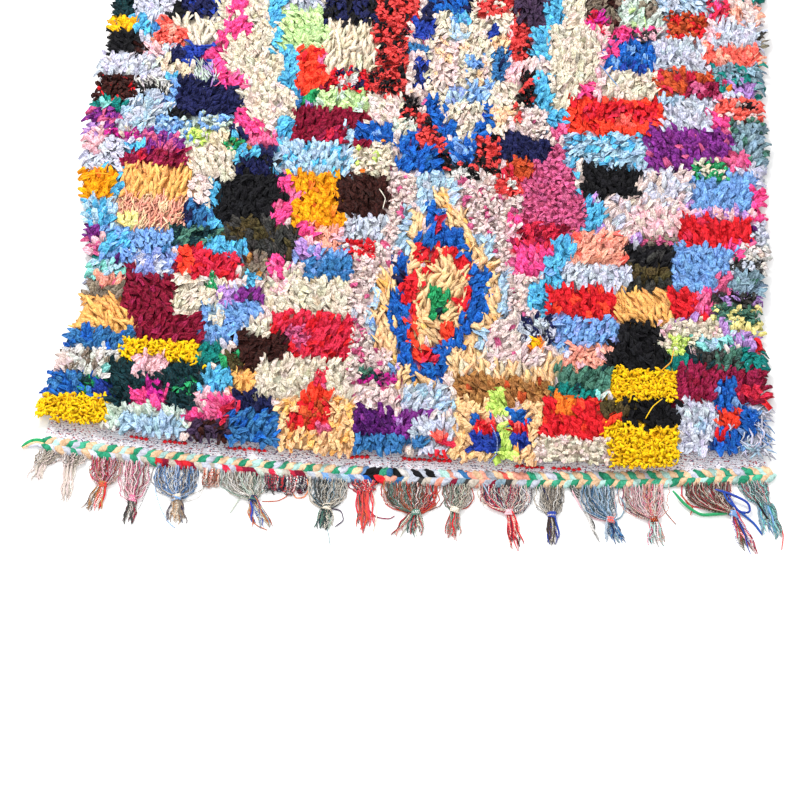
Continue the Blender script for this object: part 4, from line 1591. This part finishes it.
@dataclass
class TasselFringe:
    """The nineteen tassels: plied warp yarns that leave the twined edge tangled, draw in and fan out."""

    plan: RugPlan
    root_pitch: float = 0.0016
    yarn_radius: float = 0.00125
    tail_radius: float = 0.00145
    tail_ends: int = 22
    tangle: float = 0.0026
    layer_step: float = 0.0018
    loose_neck: float = 0.30
    wraps: int = 4
    wrap_radius: float = 0.0019
    wrap_step: float = 0.0027
    knot_height: float = 0.0115
    knot_half_width: float = 0.0070
    pile_top: float = 0.0350
    seed: int = 71

    def paint(self, names: str, many: int, draw: np.random.Generator) -> tuple[np.ndarray, np.ndarray]:
        """Two dyes for each yarn, drawn from a list of dye names.

        Args:
            names: the dye names.
            many: how many yarns.
            draw: the random draws.

        Returns:
            (N, 4) dyes and (N, 4) second dyes whose share is 0.3 to 0.6.
        """
        dyes = np.array([Dye[name.upper()].linear() for name in names.split()])
        first = dyes[draw.integers(0, len(dyes), many)].copy()
        second = dyes[draw.integers(0, len(dyes), many)].copy()
        first[:, :3] *= np.exp(draw.normal(0, 0.22, (many, 1)))
        second[:, 3] = draw.uniform(0.30, 0.60, many)
        return np.clip(first, DARKEST, 1.0), second

    def tubes(self, cloth: Cloth, centres: np.ndarray, radius: np.ndarray, around: int,
              paint: tuple[np.ndarray, np.ndarray], draw: np.random.Generator,
              band: tuple[float, float]) -> None:
        """Adds round tubes along paths.

        Args:
            cloth: what they are added to.
            centres: (N, R, 3) paths.
            radius: (N, R) radii.
            around: the section's corner count.
            paint: the yarns' two dyes.
            draw: the random draws.
            band: their part of the flat picture.
        """
        across = np.zeros_like(centres)
        across[..., 0], across[..., 1] = 1.0, 0.3
        section = WEDGE_SECTION if around == 3 else ring_section(around) * 1.12
        offsets = radius[..., None, None] * section
        sweep(cloth, centres, across, offsets, *paint, draw, band)

    def half_neck(self, tassel: Tassel) -> float:
        """Half a tassel's width at its neck: the knot's, or the loose_neck share of its root's width."""
        loose = (tassel.right - tassel.left) * self.loose_neck
        return self.knot_half_width if tassel.knotted else loose

    def web(self, tassel: Tassel, cloth: Cloth, draw: np.random.Generator) -> None:
        """Adds the yarns from the twined edge to the neck, or for a tassel without a tail the coils.

        Across, a yarn draws in to the neck as the share of the way to a power that is higher at the tassel's
        sides, so the web hangs as a pouch. Coils go down as a half sine and come back a little to the side.
        Two sines across, which differ from yarn to yarn, tangle them.

        Args:
            tassel: the tassel.
            cloth: what the yarns are added to.
            draw: the random draws.
        """
        width = tassel.right - tassel.left
        many = max(8, round(width / self.root_pitch))
        share = 0.2 * draw.uniform(-1, 1, many) + 0.8 * np.linspace(-1, 1, many)
        side = np.abs(share)[:, None]
        t = np.linspace(0, 1, 12)[None]
        root_x = ((tassel.left + tassel.right) / 2 + share * width / 2)[:, None]
        start_y = self.plan.edge_line(root_x) - self.plan.edge_width / 2 + 0.003
        depth = (start_y - tassel.neck_y) * draw.uniform(0.90, 1.04, (many, 1))
        if not tassel.tail:
            px = root_x + draw.normal(0, 0.008, (many, 1)) * (t - 0.5)
            py = start_y - depth * draw.uniform(0.55, 1.0, (many, 1)) * np.sin(math.pi * t) ** 0.7
        else:
            half = self.half_neck(tassel)
            neck_x = (tassel.neck_x + share * half * 0.8 + draw.normal(0, half * 0.15, many))[:, None]
            power = 2.0 + 2.4 * side if tassel.knotted else 1.2 + 0.8 * side
            px = root_x + (neck_x - root_x) * t ** power
            py = start_y - depth * (1 - (1 - t) ** (1 + 0.35 * side))
        phase, other = draw.uniform(0, math.tau, (2, many, 1))
        waves, ripples = draw.uniform(1.2, 2.6, (many, 1)), draw.uniform(3.0, 5.0, (many, 1))
        swing = np.sin(math.tau * waves * t + phase) + 0.7 * np.sin(math.tau * ripples * t + other)
        middle = np.sin(math.pi * np.clip(t, 0.08, 0.92))
        px = px + (self.tangle * swing + draw.normal(0, 0.0030, (many, 1))) * middle
        layer = draw.integers(0, 4, (many, 1))
        heave = 0.0009 * (1 + np.cos(math.tau * ripples * t + phase))
        pz = self.yarn_radius + 0.0001 + layer * self.layer_step + heave
        centres = np.stack([px, py, pz], axis=-1)
        radius = self.yarn_radius * draw.uniform(0.8, 1.3, (many, 1)) * np.ones_like(t)
        self.tubes(cloth, centres, radius, 3, self.paint(tassel.web, many, draw), draw, (0.0, 0.55))

    def tail(self, tassel: Tassel, cloth: Cloth, draw: np.random.Generator) -> None:
        """Adds the wavy ends that leave the neck: each fans out to its own length and ends on the floor.

        Args:
            tassel: the tassel.
            cloth: what the ends are added to.
            draw: the random draws.
        """
        width = tassel.right - tassel.left
        many = self.tail_ends if tassel.knotted else max(8, round(width / self.root_pitch * 0.6))
        share = draw.uniform(-1, 1, (many, 1))
        s = np.linspace(0, 1, 10)[None]
        half = self.half_neck(tassel)
        length = draw.uniform(0.68, 1.12, (many, 1)) - 0.12 * share * share
        px = tassel.neck_x + share * half * 0.75 * (1 - s) + (tassel.tip_x - tassel.neck_x) * length * s
        px = px + share * tassel.spread / 2 * s ** 0.75 * length
        turns, phase = draw.uniform(0.7, 2.2, (many, 1)), draw.uniform(0, math.tau, (many, 1))
        px = px + 0.0030 * np.sin(math.tau * turns * s + phase) * s ** 0.7
        py = tassel.neck_y + 0.004 * (1 - s) + (tassel.tip_y - tassel.neck_y) * length * s
        low = self.tail_radius * 1.2
        start = draw.uniform(0.2, 1.0, (many, 1)) * (self.knot_height if tassel.knotted else 0.007) * 0.75
        heave = 0.0010 * (1 + np.sin(math.tau * turns * 1.3 * s + phase)) * (1 - s)
        pz = low + (start - low) * (1 - s) ** 1.5 + heave
        centres = np.stack([px, py, np.maximum(pz, low)], axis=-1)
        taper = np.interp(s, (0, 0.8, 1), (1.0, 1.0, 0.45))
        radius = self.tail_radius * draw.uniform(0.65, 1.35, (many, 1)) * taper
        self.tubes(cloth, centres, radius, 4, self.paint(tassel.tail, many, draw), draw, (0.55, 0.8))

    def strays(self, number: int, cloth: Cloth, draw: np.random.Generator) -> None:
        """Adds the loose yarns of one tassel, or of the pile.

        A path goes straight through its listed places and is then rounded by three passes that replace each
        inner point by the mean of itself and its two neighbours.

        Args:
            number: the tassel's number, or 0 for the pile.
            cloth: what the yarns are added to.
            draw: the random draws.
        """
        for stray in STRAYS:
            if stray.tassel != number:
                continue
            stops = np.array([place.split(",") for place in stray.path.split()], float) * CM
            marks = np.arange(len(stops))
            ways = np.linspace(0, len(stops) - 1, 26)
            path = np.stack([np.interp(ways, marks, stops[:, axis]) for axis in (0, 1)], axis=-1)
            for _ in range(3):
                path[1:-1] = (path[:-2] + path[1:-1] + path[2:]) / 3
            radius = stray.radius * 0.001
            if number:
                height = radius + 0.0002 + 0.0085 * np.clip((path[:, 1] + 0.075) / 0.04, 0, 1)
            else:
                height = self.pile_top + 0.0012 * np.sin(np.linspace(0, 9, len(path)))
            centres = np.concatenate([path, height[:, None]], axis=-1)[None]
            taper = np.interp(np.linspace(0, 1, len(path)), (0, 0.1, 0.9, 1), (0.6, 1, 1, 0.5))[None]
            self.tubes(cloth, centres, radius * taper, 4, self.paint(stray.dyes, 1, draw), draw, (0.8, 0.9))

    def knot(self, tassel: Tassel, cloth: Cloth, draw: np.random.Generator) -> None:
        """Adds the wraps round the neck: closed rings of yarn, oval, leaning, one beside the other.

        Args:
            tassel: the tassel.
            cloth: what the wraps are added to.
            draw: the random draws.
        """
        many, rings = self.wraps, 15
        turn = np.linspace(0, math.tau * 1.06, rings)[None]
        step = (np.arange(many) - (many - 1) / 2)[:, None]
        lean = draw.normal(0, 0.35, (many, 1))
        half_x = self.knot_half_width * draw.uniform(0.85, 1.1, (many, 1))
        radius = self.wrap_radius
        half_z = (self.knot_height - 2 * radius) / 2
        px = tassel.neck_x + half_x * np.cos(turn)
        py = tassel.neck_y + step * self.wrap_step + lean * half_x * np.cos(turn) * 0.5
        py = py + 0.0008 * turn / math.tau
        pz = radius + 0.0001 + half_z * (1 + np.sin(turn) * (1 - 0.06 * np.abs(step)))
        centres = np.stack([px, py, np.maximum(pz, radius + 0.0001)], axis=-1)
        across = np.zeros_like(centres)
        across[..., 1] = 1.0
        offsets = radius * np.ones((many, rings, 1, 1)) * ring_section(4) * 1.12
        names = f"{tassel.wrap} {tassel.wrap} {tassel.web.split()[0]}"
        sweep(cloth, centres, across, offsets, *self.paint(names, many, draw), draw, (0.9, 1.0))

    def build(self, material: bpy.types.Material) -> list[bpy.types.Object]:
        """Builds each tassel as its own piece, in place of the part's, and the loose threads on the pile.

        Args:
            material: the yarn finish.

        Returns:
            The pieces.
        """
        pieces = []
        for number, tassel in enumerate(TASSELS, 1):
            draw = np.random.default_rng(self.seed + number)
            cloth = Cloth()
            self.web(tassel, cloth, draw)
            if tassel.tail:
                self.tail(tassel, cloth, draw)
            if tassel.knotted:
                self.knot(tassel, cloth, draw)
            self.strays(number, cloth, draw)
            piece = cloth.piece(f"yarn_tassel_{number:02d}", self.plan, material, True)
            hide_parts(f"tassel_{number:02d}")
            pieces.append(piece)
        loose = Cloth()
        self.strays(0, loose, np.random.default_rng(self.seed))
        threads = loose.piece("loose_pile_threads", self.plan, material, True)
        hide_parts("rag_pile")
        return [*pieces, threads]


@dataclass
class Studio:
    """The pale floor, the soft lights and the camera."""

    plan: RugPlan
    lens: float = 103.916
    sensor: float = 36.0
    tilt: float = math.radians(25.0)
    yaw: float = math.radians(3.463)
    distance: float = 4.46532
    target: tuple[float, float] = (-0.0213051, 0.1334869)
    world_strength: float = 1.20
    floor_size: float = 14.0
    floor_z: float = -0.0002

    def floor(self) -> None:
        """The floor: a square a hair under the rug, in a matt near-white."""
        half = self.floor_size / 2
        mesh = bpy.data.meshes.new("studio_floor")
        corners = [(x * half, y * half, self.floor_z) for x, y in ((-1, -1), (1, -1), (1, 1), (-1, 1))]
        mesh.from_pydata(corners, [], [(0, 1, 2, 3)])
        paper = bpy.data.materials.new("white paper floor")
        paper.use_nodes = True
        shader = paper.node_tree.nodes["Principled BSDF"]
        shader.inputs["Base Color"].default_value = (0.96, 0.96, 0.96, 1.0)
        shader.inputs["Roughness"].default_value = 0.95
        shader.inputs["Specular IOR Level"].default_value = 0.1
        mesh.materials.append(paper)
        floor = bpy.data.objects.new("studio_floor", mesh)
        bpy.context.scene.collection.objects.link(floor)

    def light(self, name: str, place: tuple[float, float, float], size: float, power: float) -> None:
        """Adds a square soft light that faces the rug's middle.

        Args:
            name: the light's name.
            place: where it hangs.
            size: its side.
            power: its power in watts.
        """
        lamp = bpy.data.lights.new(name, "AREA")
        lamp.shape = "SQUARE"
        lamp.size = size
        lamp.energy = power
        item = bpy.data.objects.new(name, lamp)
        item.location = place
        item.rotation_mode = "QUATERNION"
        item.rotation_quaternion = (-Vector(place)).to_track_quat("-Z", "Y")
        bpy.context.scene.collection.objects.link(item)

    def camera(self) -> None:
        """Adds the camera: its place is the point of the floor that it faces plus distance times back."""
        sin_t, cos_t = math.sin(self.tilt), math.cos(self.tilt)
        sin_y, cos_y = math.sin(self.yaw), math.cos(self.yaw)
        back = np.array([sin_y * sin_t, -cos_y * sin_t, cos_t])
        right = np.array([cos_y, sin_y, 0.0])
        up = np.cross(back, right)
        place = self.plan.in_frame(np.array([*self.target, 0.0])) + back * self.distance
        lens = bpy.data.cameras.new("camera")
        lens.lens, lens.sensor_width = self.lens, self.sensor
        lens.clip_end = 60.0
        camera = bpy.data.objects.new("camera", lens)
        rows = np.column_stack([right, up, back])
        camera.matrix_world = Matrix([[*rows[i], place[i]] for i in range(3)] + [[0, 0, 0, 1]])
        bpy.context.scene.collection.objects.link(camera)
        bpy.context.scene.camera = camera

    def build(self) -> None:
        """Sets up the floor, the world, the lights, the camera and the plain colour view."""
        self.floor()
        world = bpy.data.worlds.new("soft studio")
        world.use_nodes = True
        background = world.node_tree.nodes["Background"]
        background.inputs["Color"].default_value = (1.0, 1.0, 1.0, 1.0)
        background.inputs["Strength"].default_value = self.world_strength
        bpy.context.scene.world = world
        self.light("overhead_softbox", (-1.5, 2.1, 2.9), 1.0, 185.0)
        self.camera()
        bpy.context.scene.view_settings.view_transform = "Standard"


def main() -> None:
    """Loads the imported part, builds the rug's pieces over it in order, and sets up the studio."""
    logging.basicConfig(level=logging.INFO, format="%(message)s")
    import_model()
    plan = RugPlan.from_frame()
    groups = {"print": print_group(), "relief": relief_group(), "ply": ply_group(), "weave": weave_group()}
    jersey = Finish("worn jersey rags", Weave.RAG, sheen=0.03, ribs=0.03, relief=0.0030).material(groups)
    cotton = Finish(
        "torn cotton rags", Weave.RAG, sheen=0.03, ribs=0.02, darkest=0.6, depth=0.6, relief=0.0022,
    ).material(groups)
    frayed = Finish(
        "frayed cotton rags", Weave.RAG, sheen=0.03, ribs=0.02, darkest=0.9, depth=0.1, relief=0.0014,
    ).material(groups)
    strip = Finish(
        "wrapped cotton strip", Weave.RAG, sheen=0.1, ribs=0.02, darkest=0.7, depth=0.0, relief=0.0014,
    ).material(groups)
    yarn = Finish("plied warp yarn", Weave.YARN, sheen=0.3, relief=0.0004).material(groups)
    weave = Finish("flecked cotton weave", Weave.GROUND, sheen=0.1, relief=0.0005).material(groups)
    pile = RagPile(plan).build(jersey, cotton, frayed)
    ground = GroundCloth(plan).build(weave)
    floats = RedWeft(plan).build(strip)
    edge = TwinedEdge(plan).build(strip)
    tassels = TasselFringe(plan).build(yarn)
    Studio(plan).build()
    bpy.context.view_layer.update()
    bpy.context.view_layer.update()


if __name__ == "__main__":
    main()
